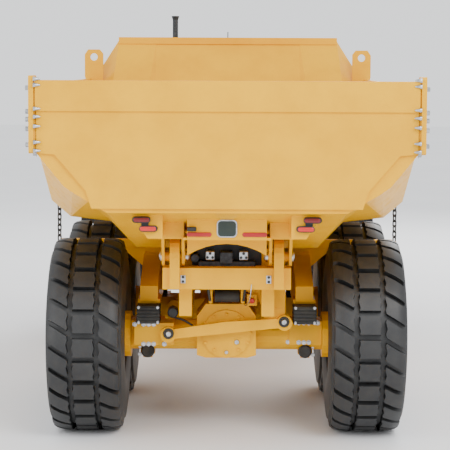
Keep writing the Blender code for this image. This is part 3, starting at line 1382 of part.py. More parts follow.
def tailgate_arm(side):
    """One side arm: bolted to the panel, hung on the tub's pin, pulled down by the chain."""
    end = CHAIN_ARM_END
    face = REAR_FACE_Y
    outline = arc((CHAIN_Y, CHAIN_TOP_Z), end, -90.0, 90.0, 6)
    outline += [
        (HINGE_Y + 0.25, PIVOT_Z + 0.15),
        (HINGE_Y - 0.10, PIVOT_Z + 0.20),
        (face + 0.22, TAILGATE_TOP + 0.04),
        (face + 0.01, TAILGATE_TOP + 0.04),
        (face, TAILGATE_TOP + 0.015),
        (face, 2.80),
        (face + 0.03, 2.785),
        (face + 0.25, 2.80),
        (HINGE_Y - 0.20, PIVOT_Z - 0.17),
        (HINGE_Y + 0.20, PIVOT_Z - 0.17),
    ]
    arm = plate("X", side * (ARM_INNER_X + ARM_THICKNESS / 2.0), ARM_THICKNESS, outline)
    joint = box(
        (side * (ARM_INNER_X - 0.016), side * (ARM_INNER_X + 0.01)),
        (face + 0.026, face + 0.070),
        (2.82, TAILGATE_TOP - 0.03),
    )
    unite(arm, joint)
    return arm




def tailgate_chain(surface, side, side_name):
    """The chain that holds the arm's front end at a fixed distance from the frame."""
    bottom = CHAIN_ANCHOR_Z + CHAIN_LUG + SEAT_GAP * 2.0
    top = CHAIN_TOP_Z - CHAIN_ARM_END - MOVING_GAP
    piece = box(
        (side * (CHAIN_X - 0.018), side * (CHAIN_X + 0.018)),
        (CHAIN_Y - 0.018, CHAIN_Y + 0.018),
        (bottom, top),
    )
    return finish(piece, f"tailgate_chain_{side_name}", surface, (side * CHAIN_X, CHAIN_Y, CHAIN_ANCHOR_Z))


# ---------------------------------------------------------------- cylinders


def cylinder_barrel(base, aim, length, radius, bore, eye_axis, eye_half, eye_radius, pin_radius):
    """A cylinder tube from its base eye, bored from its mouth."""
    direction = (Vector(aim) - Vector(base)).normalized()
    base = Vector(base)
    mouth = base + direction * length
    piece = rod(base + direction * (eye_radius + 0.025), mouth, radius, 14)
    neck = rod(base + direction * eye_radius * 0.6, base + direction * (eye_radius + 0.03), eye_half * 0.85)
    eye = rod(base - eye_axis * eye_half, base + eye_axis * eye_half, eye_radius, 14)
    unite(piece, neck, eye)
    hollow = rod(base + direction * (eye_radius + 0.035), mouth + direction * 0.05, bore, 14)
    hole_half = eye_axis * (eye_half + 0.05)
    hole = rod(base - hole_half, base + hole_half, hole_radius(pin_radius, PIN_GAP), PIN_SEGMENTS)
    return cut(piece, hollow, hole)


def cylinder_rod(base, tip, inside, radius, piston, eye_axis, eye_half, eye_radius):
    """A piston rod from its piston inside the tube to the eye at its tip."""
    direction = (Vector(tip) - Vector(base)).normalized()
    inner = Vector(base) + direction * inside
    tip = Vector(tip)
    piece = rod(inner, tip - direction * eye_radius * 0.5, radius, 12)
    head = rod(inner - direction * 0.002, inner + direction * 0.04, piston, 14)
    eye = rod(tip - eye_axis * eye_half, tip + eye_axis * eye_half, eye_radius, 14)
    return unite(piece, head, eye)


def hoist_cylinders(surfaces):
    across = Vector((1.0, 0.0, 0.0))
    for side, side_name in SIDES:
        base = place(side * HOIST_X, *HOIST_BASE)
        tip = place(side * HOIST_X, *HOIST_EYE)
        length = (tip - base).length - 0.14
        barrel_sizes = (0.076, 0.060, across, HOIST_HALF_EYE, 0.066, HOIST_PIN_RADIUS)
        barrel = cylinder_barrel(base, tip, length, *barrel_sizes)
        finish(barrel, f"hoist_barrel_{side_name}", surfaces["yellow"], base)
        piston_rod = cylinder_rod(base, tip, 0.135, 0.042, 0.060 - RUN_GAP, across, HOIST_HALF_EYE, 0.055)
        finish(piston_rod, f"hoist_rod_{side_name}", surfaces["chrome"], base)


def steering_cylinders(surfaces):
    upright = Vector((0.0, 0.0, 1.0))
    for side, side_name in SIDES:
        base = Vector((side * STEER_BASE[0], HITCH_Y + STEER_BASE[1], HITCH_Z))
        tip = Vector((side * STEER_LUG[0], HITCH_Y + STEER_LUG[1], HITCH_Z))
        barrel = cylinder_barrel(
            base, tip, 0.805, STEER_BARREL_RADIUS, 0.041, upright, STEER_EYE_HALF, 0.052, 0.022
        )
        finish(barrel, f"steering_barrel_{side_name}", surfaces["yellow"], base)
        piston_rod = cylinder_rod(
            base, tip, 0.425, STEER_ROD_RADIUS, 0.041 - RUN_GAP, upright, STEER_EYE_HALF, 0.045
        )
        finish(piston_rod, f"steering_rod_{side_name}", surfaces["chrome"], base)


# ---------------------------------------------------------------- the whole truck


def build_truck():
    surfaces = {
        "yellow": material("yellow_paint", (0.85, 0.47, 0.045), 0.35),
        "dark": material("dark_paint", (0.03, 0.033, 0.036), 0.35),
        "rubber": material("tyre_rubber", (0.02, 0.02, 0.022), 0.8),
        "chrome": material("chromed_rod", (0.75, 0.76, 0.78), 0.12, 1.0),
        "steel": material("bare_steel", (0.25, 0.25, 0.26), 0.4, 1.0),
        "glass": material("window_glass", (0.35, 0.42, 0.45), 0.05),
        "lamp": material("red_lamp", (0.55, 0.02, 0.02), 0.2),
        "trim": material("black_plastic", (0.025, 0.025, 0.027), 0.5),
        "engine": material("engine_paint", (0.10, 0.11, 0.12), 0.5),
    }
    yellow = surfaces["yellow"]
    wheels(surfaces)
    bogie_axle(yellow, "rear_axle", REAR_AXLE_Y, 1.0)
    bogie_axle(yellow, "middle_axle", MIDDLE_AXLE_Y, -1.0)
    lateral_rod(yellow, "rear_lateral_rod", REAR_AXLE_Y)
    lateral_rod(yellow, "middle_lateral_rod", MIDDLE_AXLE_Y)
    front_axle(yellow)
    rear_frame(yellow)
    hitch(yellow)
    front_frame(yellow)
    tanks(surfaces)
    front_bumper(surfaces["dark"])
    exhaust(surfaces["trim"])
    cab_shell(yellow)
    cab_roof(yellow)
    cab_glass(surfaces["glass"])
    cab_door(surfaces)
    operator_seat(surfaces["trim"])
    steering_console(surfaces["trim"])
    hood(surfaces)
    engine(surfaces["engine"])
    dump_body(yellow)
    tailgate(yellow)
    hoist_cylinders(surfaces)
    steering_cylinders(surfaces)
    for side, side_name in SIDES:
        walking_beam(yellow, side, side_name)
        fender(surfaces["dark"], side, side_name)
        mirror(surfaces["trim"], side, side_name)
        tail_light(surfaces["lamp"], side, side_name)
        tailgate_chain(surfaces["steel"], side, side_name)


clear_scene()
truck = bpy.data.collections.new("articulated_dump_truck")
bpy.context.scene.collection.children.link(truck)
build_truck()
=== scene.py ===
# %% [markdown]
# # An articulated dump truck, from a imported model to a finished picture
# The working model already has every plate, axle and joint at its real place and size, in metres.
# This lesson gives it the surfaces and the small pieces that make it look real. The frame is loaded
# first, and all places are read from it.

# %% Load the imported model
import json
import math

import bpy
from mathutils import Matrix, Vector


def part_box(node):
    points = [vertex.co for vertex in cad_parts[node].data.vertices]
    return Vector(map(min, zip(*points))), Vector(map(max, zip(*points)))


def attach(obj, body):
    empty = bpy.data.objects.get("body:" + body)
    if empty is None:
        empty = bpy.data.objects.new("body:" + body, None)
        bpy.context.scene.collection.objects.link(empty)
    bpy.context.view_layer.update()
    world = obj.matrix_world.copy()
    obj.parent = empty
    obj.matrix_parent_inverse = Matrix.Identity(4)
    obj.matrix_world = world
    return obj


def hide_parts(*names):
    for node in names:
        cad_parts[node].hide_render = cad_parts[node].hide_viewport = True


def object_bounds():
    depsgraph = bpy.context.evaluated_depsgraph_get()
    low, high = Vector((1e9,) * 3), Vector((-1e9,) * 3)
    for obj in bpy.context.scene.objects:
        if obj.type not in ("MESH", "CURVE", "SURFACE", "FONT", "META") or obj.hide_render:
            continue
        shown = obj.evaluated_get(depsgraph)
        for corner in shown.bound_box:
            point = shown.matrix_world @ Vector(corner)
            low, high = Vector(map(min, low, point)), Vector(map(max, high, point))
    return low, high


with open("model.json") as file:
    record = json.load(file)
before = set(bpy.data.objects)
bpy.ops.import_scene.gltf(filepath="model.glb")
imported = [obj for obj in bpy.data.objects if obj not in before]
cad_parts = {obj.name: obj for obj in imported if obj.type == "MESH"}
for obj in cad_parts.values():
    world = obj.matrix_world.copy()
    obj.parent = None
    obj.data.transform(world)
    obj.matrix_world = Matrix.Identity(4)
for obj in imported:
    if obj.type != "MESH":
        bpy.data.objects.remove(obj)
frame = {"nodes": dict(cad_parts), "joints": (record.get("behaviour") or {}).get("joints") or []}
cad_low, cad_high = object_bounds()


# %% [markdown]
# ## Small helpers
# Blender's operators act on whatever is selected, so each new piece begins with nothing selected.
# A piece is kept with its object at the origin and its place in its mesh, which `settle` does.

# %% Selection and edit-mode helpers
LEFT = -1.0
RIGHT = 1.0
SIDES = ((LEFT, "left"), (RIGHT, "right"))
MM = 0.001


def start_piece():
    if bpy.context.object and bpy.context.object.mode == "EDIT":
        bpy.ops.object.mode_set(mode="OBJECT")
    bpy.ops.object.select_all(action="DESELECT")


def settle(name):
    """Name the active piece and move its place into its mesh."""
    piece = bpy.context.object
    bpy.ops.object.transform_apply(location=True, rotation=True, scale=True)
    piece.name = name
    piece.data.name = name
    return piece


def pick_faces(piece, wanted):
    """In edit mode, select the faces whose centre and normal pass a test."""
    bpy.ops.object.mode_set(mode="OBJECT")
    for vertex in piece.data.vertices:
        vertex.select = False
    for edge in piece.data.edges:
        edge.select = False
    for face in piece.data.polygons:
        face.select = wanted(face.center, face.normal)
    bpy.ops.object.mode_set(mode="EDIT")
    bpy.ops.mesh.select_mode(type="FACE")


def edit(piece):
    start_piece()
    piece.select_set(True)
    bpy.context.view_layer.objects.active = piece
    bpy.ops.object.mode_set(mode="EDIT")
    bpy.ops.mesh.select_mode(type="FACE")


def leave_edit():
    bpy.ops.object.mode_set(mode="OBJECT")


def round_edges(piece, width, segments=2):
    """A bevel on all sharp edges, applied."""
    modifier = piece.modifiers.new("Bevel", "BEVEL")
    modifier.width = width
    modifier.segments = segments
    modifier.limit_method = "ANGLE"
    bpy.context.view_layer.objects.active = piece
    bpy.ops.object.modifier_apply(modifier=modifier.name)


def shade(piece, degrees=35.0):
    start_piece()
    piece.select_set(True)
    bpy.context.view_layer.objects.active = piece
    bpy.ops.object.shade_smooth_by_angle(angle=math.radians(degrees))


def copy_piece(piece, name, matrix):
    """A copy with its own mesh, moved within its mesh."""
    made = bpy.data.objects.new(name, piece.data.copy())
    made.data.name = name
    bpy.context.scene.collection.objects.link(made)
    made.data.transform(matrix)
    return made


def join_pieces(pieces, name):
    start_piece()
    for piece in pieces:
        piece.select_set(True)
    bpy.context.view_layer.objects.active = pieces[0]
    if len(pieces) > 1:
        bpy.ops.object.join()
    pieces[0].name = name
    pieces[0].data.name = name
    return pieces[0]


def dress(piece, surface, body):
    """Give a finished piece its surface and its body."""
    piece.data.materials.clear()
    piece.data.materials.append(surface)
    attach(piece, body)
    return piece


def joint_place(name):
    return Vector(next(joint["pos_m"] for joint in frame["joints"] if joint["name"] == name))


def middle(node):
    low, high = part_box(node)
    return (low + high) / 2.0


print("helpers are ready")


# %% [markdown]
# ## Colours and nodes
# Colours are picked as sRGB hex values, the way a paint chart gives them, and the shader wants
# linear values, so one function turns them. One more adds a node with its settings and its links.

# %% Colour and node helpers


def paint(hex_value):
    channels = []
    for start in (1, 3, 5):
        value = int(hex_value[start:start + 2], 16) / 255.0
        channels.append(value / 12.92 if value <= 0.04045 else ((value + 0.055) / 1.055) ** 2.4)
    return (*channels, 1.0)


def add_node(tree, kind, settings=None, values=None, links=None):
    node = tree.nodes.new(kind)
    for key, value in (settings or {}).items():
        setattr(node, key, value)
    for key, value in (values or {}).items():
        node.inputs[key].default_value = value
    for key, source in (links or {}).items():
        tree.links.new(source, node.inputs[key])
    return node


def ramp(tree, source, stops):
    node = add_node(tree, "ShaderNodeValToRGB", links={"Fac": source})
    points = node.color_ramp.elements
    while len(points) < len(stops):
        points.new(0.5)
    for point, (place, colour) in zip(points, stops):
        point.position = place
        point.color = colour
    return node


def new_material(name, roughness, metallic=0.0, **sockets):
    made = bpy.data.materials.new(name)
    made.use_nodes = True
    tree = made.node_tree
    shader = tree.nodes["Principled BSDF"]
    shader.inputs["Roughness"].default_value = roughness
    shader.inputs["Metallic"].default_value = metallic
    for key, value in sockets.items():
        shader.inputs[key.replace("_", " ")].default_value = value
    place = add_node(tree, "ShaderNodeTexCoord").outputs["Object"]
    return made, tree, shader, place


def noise(tree, place, size, detail=3.0, rough=0.55):
    """A noise whose lumps are about `size` metres across."""
    values = {"Scale": 1.0 / size, "Detail": detail, "Roughness": rough}
    return add_node(tree, "ShaderNodeTexNoise", values=values, links={"Vector": place}).outputs["Fac"]


def bump(tree, shader, height, depth, strength=0.5):
    values = {"Strength": strength, "Distance": depth}
    node = add_node(tree, "ShaderNodeBump", values=values, links={"Height": height})
    tree.links.new(node.outputs["Normal"], shader.inputs["Normal"])


print("yellow in linear light:", [round(channel, 3) for channel in paint("#F5B82E")])

# %% [markdown]
# ## Machine yellow enamel
# The body is two-pack enamel sprayed over shot-blasted plate. Up close such a coat has an orange-peel
# of a few millimetres, a gloss that dust dulls in patches, and a slightly deeper tone where it is thin.
# The paint itself has an index of about 1.5. The same recipe, with other colours, makes the dark enamel.

# %% Enamel materials
ORANGE_PEEL = 6 * MM
DUST_PATCH = 0.45


def enamel(name, clean, deep, dust, roughness=0.36, dust_share=0.25):
    made, tree, shader, place = new_material(name, roughness, IOR=1.5)
    shader.inputs["Specular IOR Level"].default_value = 0.15
    tone = ramp(tree, noise(tree, place, DUST_PATCH, 5.0), [(0.32, paint(deep)), (0.62, paint(clean))])
    film = ramp(tree, noise(tree, place, 0.11, 7.0, 0.65), [(0.50, (0, 0, 0, 1)), (0.78, (1, 1, 1, 1))])
    share = add_node(
        tree, "ShaderNodeMath", {"operation": "MULTIPLY"}, {1: dust_share}, {0: film.outputs["Color"]}
    )
    mix = add_node(tree, "ShaderNodeMix", {"data_type": "RGBA"}, {7: paint(dust)})
    tree.links.new(share.outputs[0], mix.inputs[0])
    tree.links.new(tone.outputs["Color"], mix.inputs[6])
    tree.links.new(mix.outputs[2], shader.inputs["Base Color"])
    limits = {"To Min": roughness - 0.08, "To Max": roughness + 0.22}
    rough = add_node(tree, "ShaderNodeMapRange", values=limits)
    tree.links.new(film.outputs["Color"], rough.inputs["Value"])
    tree.links.new(rough.outputs["Result"], shader.inputs["Roughness"])
    bump(tree, shader, noise(tree, place, ORANGE_PEEL, 2.0), 0.4 * MM, 0.35)
    return made


yellow = enamel("machine_yellow_enamel", "#EDAF00", "#E3A400", "#C08A0C", 0.42, 0.10)
rim_yellow = enamel("wheel_yellow_enamel", "#E8A800", "#D89A00", "#A07A26", 0.45, 0.30)
dark = enamel("dark_grey_enamel", "#2B2D30", "#222427", "#5A554C", 0.42, 0.30)
print("enamels:", yellow.name, rim_yellow.name, dark.name)

# %% [markdown]
# ## Tyre rubber
# A cured tyre compound is a matt, slightly grey black. Its skin carries a fine grain from the mould, and
# dust dries on it as a paler film, which the colour shows in random patches.

# %% Rubber and plastics
TYRE_GRAIN = 9 * MM


def rubber(name, clean, dusty, roughness=0.72):
    made, tree, shader, place = new_material(name, roughness, IOR=1.52)
    patch = ramp(tree, noise(tree, place, 0.16, 6.0, 0.7), [(0.38, paint(clean)), (0.72, paint(dusty))])
    tree.links.new(patch.outputs["Color"], shader.inputs["Base Color"])
    bump(tree, shader, noise(tree, place, TYRE_GRAIN, 4.0), 0.8 * MM, 0.4)
    return made


tyre_rubber = rubber("cured_tyre_rubber", "#17181A", "#2A2A29", 0.5)
hose_rubber = rubber("black_hose_rubber", "#19191A", "#2B2A29", 0.55)
block_rubber = rubber("laminated_block_rubber", "#1D1D1E", "#38362F", 0.7)


def plastic(name, colour, darker, roughness, grain=3 * MM):
    made, tree, shader, place = new_material(name, roughness, IOR=1.49)
    tone = ramp(tree, noise(tree, place, 0.20, 3.0), [(0.35, paint(darker)), (0.65, paint(colour))])
    tree.links.new(tone.outputs["Color"], shader.inputs["Base Color"])
    bump(tree, shader, noise(tree, place, grain, 2.0), 0.3 * MM, 0.4)
    return made


trim = plastic("moulded_black_trim", "#232425", "#1A1B1C", 0.5)
# Darker red for the upper tail-light lenses: painted shade under the tub's edge, not a different lens colour.
red_lens_painted_shade = plastic("red_lens_with_painted_shade", "#7E1414", "#6B0F10", 0.12, 12 * MM)
bright_red = plastic("bright_red_lens", "#D63022", "#C02219", 0.12, 12 * MM)
amber = plastic("amber_lens", "#E98A1C", "#D67A14", 0.12, 12 * MM)
reflector = plastic("red_reflector", "#B3221C", "#9B1815", 0.18, 7 * MM)
red_knob = plastic("red_knob_plastic", "#C8251B", "#B01D15", 0.3)
print("rubber and plastics are ready")

# %% [markdown]
# ## Metals, glass and cloth
# Zinc-plated bolts are a soft silver, hard chrome on a piston rod is nearly a mirror, and a chain's steel is
# worn dark. Window glass is clear with an index of 1.52. The seat's cloth is a weave with threads too fine to
# show from a few metres, so its weave is drawn at 6 mm.

# %% Metal, glass and cloth materials


def metal(name, bright, dull, roughness, patch=0.03):
    made, tree, shader, place = new_material(name, roughness, 1.0)
    tone = ramp(tree, noise(tree, place, patch, 4.0), [(0.35, paint(dull)), (0.65, paint(bright))])
    tree.links.new(tone.outputs["Color"], shader.inputs["Base Color"])
    limits = {"To Min": roughness * 0.7, "To Max": roughness * 1.3}
    rough = add_node(tree, "ShaderNodeMapRange", values=limits)
    tree.links.new(noise(tree, place, patch * 0.6, 3.0), rough.inputs["Value"])
    tree.links.new(rough.outputs["Result"], shader.inputs["Roughness"])
    return made


zinc = metal("zinc_plated_steel", "#C9CBCD", "#A3A6A9", 0.32)
chrome = metal("hard_chromed_rod", "#DADCDE", "#C4C7CA", 0.10, 0.12)
chain_steel = metal("worn_chain_steel", "#5E5C5A", "#3B3937", 0.45)
cast_grey = metal("cast_grey_iron", "#4C4E50", "#37393B", 0.55)
mirror_glass = metal("mirror_silvering", "#D5DADC", "#C8CED1", 0.04, 0.3)


def window_glass():
    made, tree, shader, place = new_material("tinted_window_glass", 0.04, IOR=1.52, Transmission_Weight=0.85)
    film = ramp(tree, noise(tree, place, 0.3, 4.0), [(0.4, paint("#5E6C70")), (0.7, paint("#74817F"))])
    tree.links.new(film.outputs["Color"], shader.inputs["Base Color"])
    return made


def seat_cloth():
    made, tree, shader, place = new_material("woven_seat_cloth", 0.9, Sheen_Weight=0.3)
    values = {"Scale": 1.0 / (6 * MM)}
    weave = add_node(tree, "ShaderNodeTexChecker", values=values, links={"Vector": place})
    weave.inputs["Color1"].default_value = paint("#2A2C30")
    weave.inputs["Color2"].default_value = paint("#1D1E21")
    tree.links.new(weave.outputs["Color"], shader.inputs["Base Color"])
    bump(tree, shader, weave.outputs["Fac"], 0.6 * MM, 0.5)
    return made


glass = window_glass()
cloth = seat_cloth()
print("metals, glass and cloth are ready")

# %% [markdown]
# ## Surfaces on the working model
# The plates, axles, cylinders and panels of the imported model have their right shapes, so each one only
# changes its material. The names say what each piece is, so a short table gives every node its finish.

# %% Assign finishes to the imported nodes
FINISHES = (
    ("rim", rim_yellow), ("glass", glass), ("hoist_rod", chrome), ("steering_rod", chrome),
    ("windscreen", glass), ("_window", glass), ("tyre", tyre_rubber), ("fender", dark), ("tank", dark),
    ("front_bumper", dark), ("grille", dark), ("exhaust", cast_grey), ("engine", cast_grey), ("mirror", trim),
    ("console", trim), ("seat", cloth), ("chain", chain_steel), ("tail_light", trim),
)


def finish_for(node):
    if node == "side_window_right":
        return glass
    return next((surface for word, surface in FINISHES if word in node), yellow)


for node, thing in frame["nodes"].items():
    thing.data.materials.clear()
    thing.data.materials.append(finish_for(node))
print("finished nodes:", len(frame["nodes"]))

# %% [markdown]
# ## The camera and the studio
# The truck is seen from straight behind with a long lens, from a little above the tailgate. A long lens far
# away keeps the wheels nearly the same size from axle to axle. Big soft lights above and behind the camera
# and a pale floor give the even light of a product picture.

# %% Camera
LENS = 141.3
CAMERA_PLACE = Vector((0.0, -21.0, 3.59))
PITCH_DOWN = 5.254
AIM_LEFT = 0.065
ROLL = 0.26

camera_data = bpy.data.cameras.new("rear_camera")
camera_data.lens = LENS
camera_data.sensor_width = 36.0
camera = bpy.data.objects.new("rear_camera", camera_data)
camera.location = CAMERA_PLACE
tilt = Matrix.Rotation(math.radians(90.0 - PITCH_DOWN), 4, "X")
aim = Matrix.Rotation(math.radians(AIM_LEFT), 4, "Z") @ tilt
camera.rotation_euler = (aim @ Matrix.Rotation(math.radians(ROLL), 4, "Z")).to_euler()
bpy.context.scene.collection.objects.link(camera)
bpy.context.scene.camera = camera
print("camera at", tuple(camera.location))

# %% Floor, world and lights
start_piece()
bpy.ops.mesh.primitive_plane_add(size=160.0, location=(0.0, 0.0, 0.0))
floor = settle("studio_floor")
floor_paint, floor_tree, floor_shader, floor_place = new_material("pale_studio_floor", 0.85)
floor_tone = ramp(
    floor_tree, noise(floor_tree, floor_place, 3.0, 2.0), [(0.3, paint("#F2F2F3")), (0.7, paint("#F6F6F6"))]
)
floor_tree.links.new(floor_tone.outputs["Color"], floor_shader.inputs["Base Color"])
floor.data.materials.append(floor_paint)

world = bpy.data.worlds.new("studio_world")
bpy.context.scene.world = world
world.use_nodes = True
world.node_tree.nodes["Background"].inputs["Color"].default_value = paint("#F2F4F6")
world.node_tree.nodes["Background"].inputs["Strength"].default_value = 1.55


def soft_light(name, place, aim_at, size, watts):
    lamp = bpy.data.lights.new(name, "AREA")
    lamp.shape = "SQUARE"
    lamp.size = size
    lamp.energy = watts
    made = bpy.data.objects.new(name, lamp)
    made.location = place
    made.rotation_euler = (Vector(aim_at) - Vector(place)).to_track_quat("-Z", "Y").to_euler()
    bpy.context.scene.collection.objects.link(made)


soft_light("key_light", (7.0, -17.0, 13.0), (0.0, -3.0, 1.5), 8.0, 2200.0)
soft_light("fill_light", (-11.0, -14.0, 7.0), (0.0, -3.0, 1.5), 9.0, 800.0)
soft_light("front_light", (6.0, 15.0, 11.0), (0.0, 2.0, 1.5), 8.0, 1800.0)
print("studio is lit")

# %% [markdown]
# ## Earthmover tyres
# A wide traction tyre has three rows of blocks. Its cross grooves run in a long S from shoulder to shoulder,
# and short slanted grooves part the rows. One pitch of the tread is modelled flat, as a sheet of rubber:
# each block is inset and extruded from a grid. The sheet is then bent round the wheel, and the spin operator
# repeats it all the way round, which keeps every pitch the same.

# %% One pitch of tread, laid flat
tyre_low, tyre_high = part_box("rear_tyre_left")
TYRE_RADIUS = min(tyre_high.z / 2.0, middle("rear_tyre_left").z)
PITCHES = 26
TREAD_DEPTH = 0.058
TREAD_HALF = 0.352
BASE_RADIUS = TYRE_RADIUS - TREAD_DEPTH
PITCH_LENGTH = 2.0 * math.pi * TYRE_RADIUS / PITCHES
COLUMNS = 3
GROOVE_HALF = 0.023

start_piece()
bpy.ops.mesh.primitive_grid_add(x_subdivisions=COLUMNS, y_subdivisions=1, size=1.0)
pitch = bpy.context.object
pitch.scale = (2.0 * TREAD_HALF, PITCH_LENGTH, 1.0)
settle("tyre_pitch")
column_width = 2.0 * TREAD_HALF / COLUMNS
for column in range(COLUMNS):
    centre = -TREAD_HALF + (column + 0.5) * column_width
    edit(pitch)
    pick_faces(pitch, lambda spot, _: abs(spot.x - centre) < column_width / 3.0)
    bpy.ops.mesh.inset(thickness=GROOVE_HALF)
    bpy.ops.mesh.extrude_region_move(TRANSFORM_OT_translate={"value": (0.0, 0.0, TREAD_DEPTH)})
    bpy.ops.transform.resize(value=(0.965, 0.95, 1.0))
    leave_edit()
edit(pitch)
bpy.ops.mesh.select_all(action="SELECT")
bpy.ops.mesh.remove_doubles(threshold=0.0005)
for share in (-0.25, 0.0, 0.25):
    bpy.ops.mesh.select_all(action="SELECT")
    bpy.ops.mesh.bisect(plane_co=(0.0, share * PITCH_LENGTH, 0.0), plane_no=(0.0, 1.0, 0.0))
for place in (-0.30, -0.24, 0.0, 0.24, 0.30):
    bpy.ops.mesh.select_all(action="SELECT")
    bpy.ops.mesh.bisect(plane_co=(place, 0.0, 0.0), plane_no=(1.0, 0.0, 0.0))
leave_edit()
print("one pitch:", len(pitch.data.polygons), "faces,", round(PITCH_LENGTH, 3), "m long")

# %% Give the pitch its S, its slanted grooves and its sidewalls
S_FLAT = 0.105
S_SLOPE = 0.62
BULGE = 0.040
SIDEWALL = (
    (0.367, -0.115), (0.3745, -0.24), (0.362, -0.36), (0.342, -0.43), (0.326, -0.455), (0.300, -0.470),
)


def s_offset(across):
    """How far the cross groove has moved along the tread at this place across it."""
    beyond = max(0.0, abs(across) - S_FLAT)
    return -math.copysign(beyond * S_SLOPE, across)


for vertex in pitch.data.vertices:
    across, along, _ = vertex.co
    near_row = 1.0 - min(1.0, abs(abs(across) - column_width / 2.0) / 0.09)
    swell = 1.0 - abs(2.0 * along / PITCH_LENGTH)
    vertex.co.x += math.copysign(BULGE * (swell - 0.5) * near_row, across)
    vertex.co.y += s_offset(vertex.co.x)


def extrude_side(side):
    """Draw one edge of the pitch down to the bead, ring by ring."""
    reach, height = TREAD_HALF, 0.0
    bpy.ops.mesh.select_mode(type="VERT")
    bpy.ops.mesh.select_all(action="DESELECT")
    leave_edit()
    for vertex in pitch.data.vertices:
        vertex.select = abs(vertex.co.x - side * TREAD_HALF) < 0.002
    bpy.ops.object.mode_set(mode="EDIT")
    bpy.ops.mesh.select_mode(type="VERT")
    for next_reach, next_height in SIDEWALL:
        step = (side * (next_reach - reach), 0.0, next_height - height)
        bpy.ops.mesh.extrude_region_move(TRANSFORM_OT_translate={"value": step})
        reach, height = next_reach, next_height


edit(pitch)
for side, _ in SIDES:
    extrude_side(side)
leave_edit()
print("pitch with sidewalls:", len(pitch.data.polygons), "faces")

# %% Bend the pitch round the wheel and repeat it
CROWN_DROP = 0.055


def wrapped(spot):
    """Where a point of the flat sheet lies on the wheel."""
    shoulder = max(0.0, min(abs(spot.x), TREAD_HALF) - 0.25) / (TREAD_HALF - 0.25)
    radius = BASE_RADIUS + spot.z - CROWN_DROP * shoulder ** 2 - 0.004 * (spot.x / TREAD_HALF) ** 2
    turn = spot.y / TYRE_RADIUS
    return Vector((spot.x, -radius * math.cos(turn), radius * math.sin(turn)))


for vertex in pitch.data.vertices:
    vertex.co = wrapped(vertex.co)
edit(pitch)
bpy.ops.mesh.select_all(action="SELECT")
bpy.ops.mesh.spin(
    steps=PITCHES, dupli=True, angle=2.0 * math.pi, center=(0.0, 0.0, 0.0), axis=(1.0, 0.0, 0.0)
)
bpy.ops.mesh.select_all(action="SELECT")
bpy.ops.mesh.remove_doubles(threshold=0.002)
bpy.ops.mesh.select_all(action="DESELECT")
leave_edit()
bead = SIDEWALL[-1][0]
for edge in pitch.data.edges:
    ends = [pitch.data.vertices[index].co for index in edge.vertices]
    edge.select = all(abs(abs(end.x) - bead) < 0.001 and end.yz.length < 0.36 for end in ends)
print("bead edges:", sum(edge.select for edge in pitch.data.edges))
bpy.ops.object.mode_set(mode="EDIT")
bpy.ops.mesh.select_mode(type="EDGE")
bpy.ops.mesh.bridge_edge_loops()
bpy.ops.mesh.select_all(action="SELECT")
bpy.ops.mesh.normals_make_consistent(inside=False)
leave_edit()
shade(pitch, 32.0)
print("tyre:", len(pitch.data.polygons), "faces")

# %% Place the six tyres
AXLES = ("rear", "middle", "front")
for axle in AXLES:
    for side, side_name in SIDES:
        node = f"{axle}_tyre_{side_name}"
        place = middle(node)
        tyre = copy_piece(pitch, f"{node}_tread", Matrix.Translation((place.x, place.y, TYRE_RADIUS)))
        dress(tyre, tyre_rubber, f"{axle}_wheel_{side_name}")
        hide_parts(node)
bpy.data.objects.remove(pitch)
print("six tyres placed")

# %% [markdown]
# ## Bolts, nuts and pins
# Real plates are held by hexagon bolts on washers. One bolt is modelled from a six-sided cylinder: its top
# is inset and raised a little for the chamfer, and a washer is extruded below it. It points along +Z and is
# copied to each place with a turn that brings +Z to the plate's normal.

# %% One hexagon bolt
BOLT_ACROSS = 0.036
BOLT_HEIGHT = 0.020


def model_bolt():
    start_piece()
    bpy.ops.mesh.primitive_cylinder_add(vertices=6, radius=BOLT_ACROSS / 2.0, depth=BOLT_HEIGHT)
    bolt = settle("hexagon_bolt")
    edit(bolt)
    pick_faces(bolt, lambda _, normal: normal.z > 0.9)
    bpy.ops.mesh.inset(thickness=BOLT_ACROSS * 0.07)
    bpy.ops.transform.translate(value=(0.0, 0.0, BOLT_ACROSS * 0.05))
    pick_faces(bolt, lambda _, normal: normal.z < -0.9)
    bpy.ops.mesh.extrude_region_move(TRANSFORM_OT_translate={"value": (0.0, 0.0, 0.0)})
    bpy.ops.transform.resize(value=(1.35, 1.35, 1.0))
    bpy.ops.mesh.extrude_region_move(TRANSFORM_OT_translate={"value": (0.0, 0.0, -0.004)})
    leave_edit()
    return bolt


bolt_model = model_bolt()


def bolts(name, places, normal, surface, body, size=1.0):
    """Copies of the bolt at these places, joined into one piece that rides on one body."""
    turn = Vector(normal).to_track_quat("Z", "Y").to_matrix().to_4x4()
    grow = Matrix.Scale(size, 4)
    made = []
    for index, place in enumerate(places):
        lift = Vector(normal).normalized() * (BOLT_HEIGHT / 2.0 + 0.004) * size
        matrix = Matrix.Translation(Vector(place) + lift) @ turn @ grow
        made.append(copy_piece(bolt_model, f"{name}_{index}", matrix))
    return dress(join_pieces(made, name), surface, body)


def ring(centre, radius, count, normal_axis, start=0.0):
    """Places evenly round a circle across the X or Y axis."""
    places = []
    for step in range(count):
        turn = math.radians(start) + 2.0 * math.pi * step / count
        first, second = radius * math.cos(turn), radius * math.sin(turn)
        offset = (0.0, first, second) if normal_axis == "X" else (first, 0.0, second)
        places.append(Vector(centre) + Vector(offset))
    return places


print("bolt:", len(bolt_model.data.polygons), "faces")

# %% [markdown]
# ## Finding the surface
# A bolt has to sit on its plate, not near it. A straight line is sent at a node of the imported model, and
# where it lands gives the bolt its place, so the detail follows the model if a size changes.

# %% Cast a line at a node


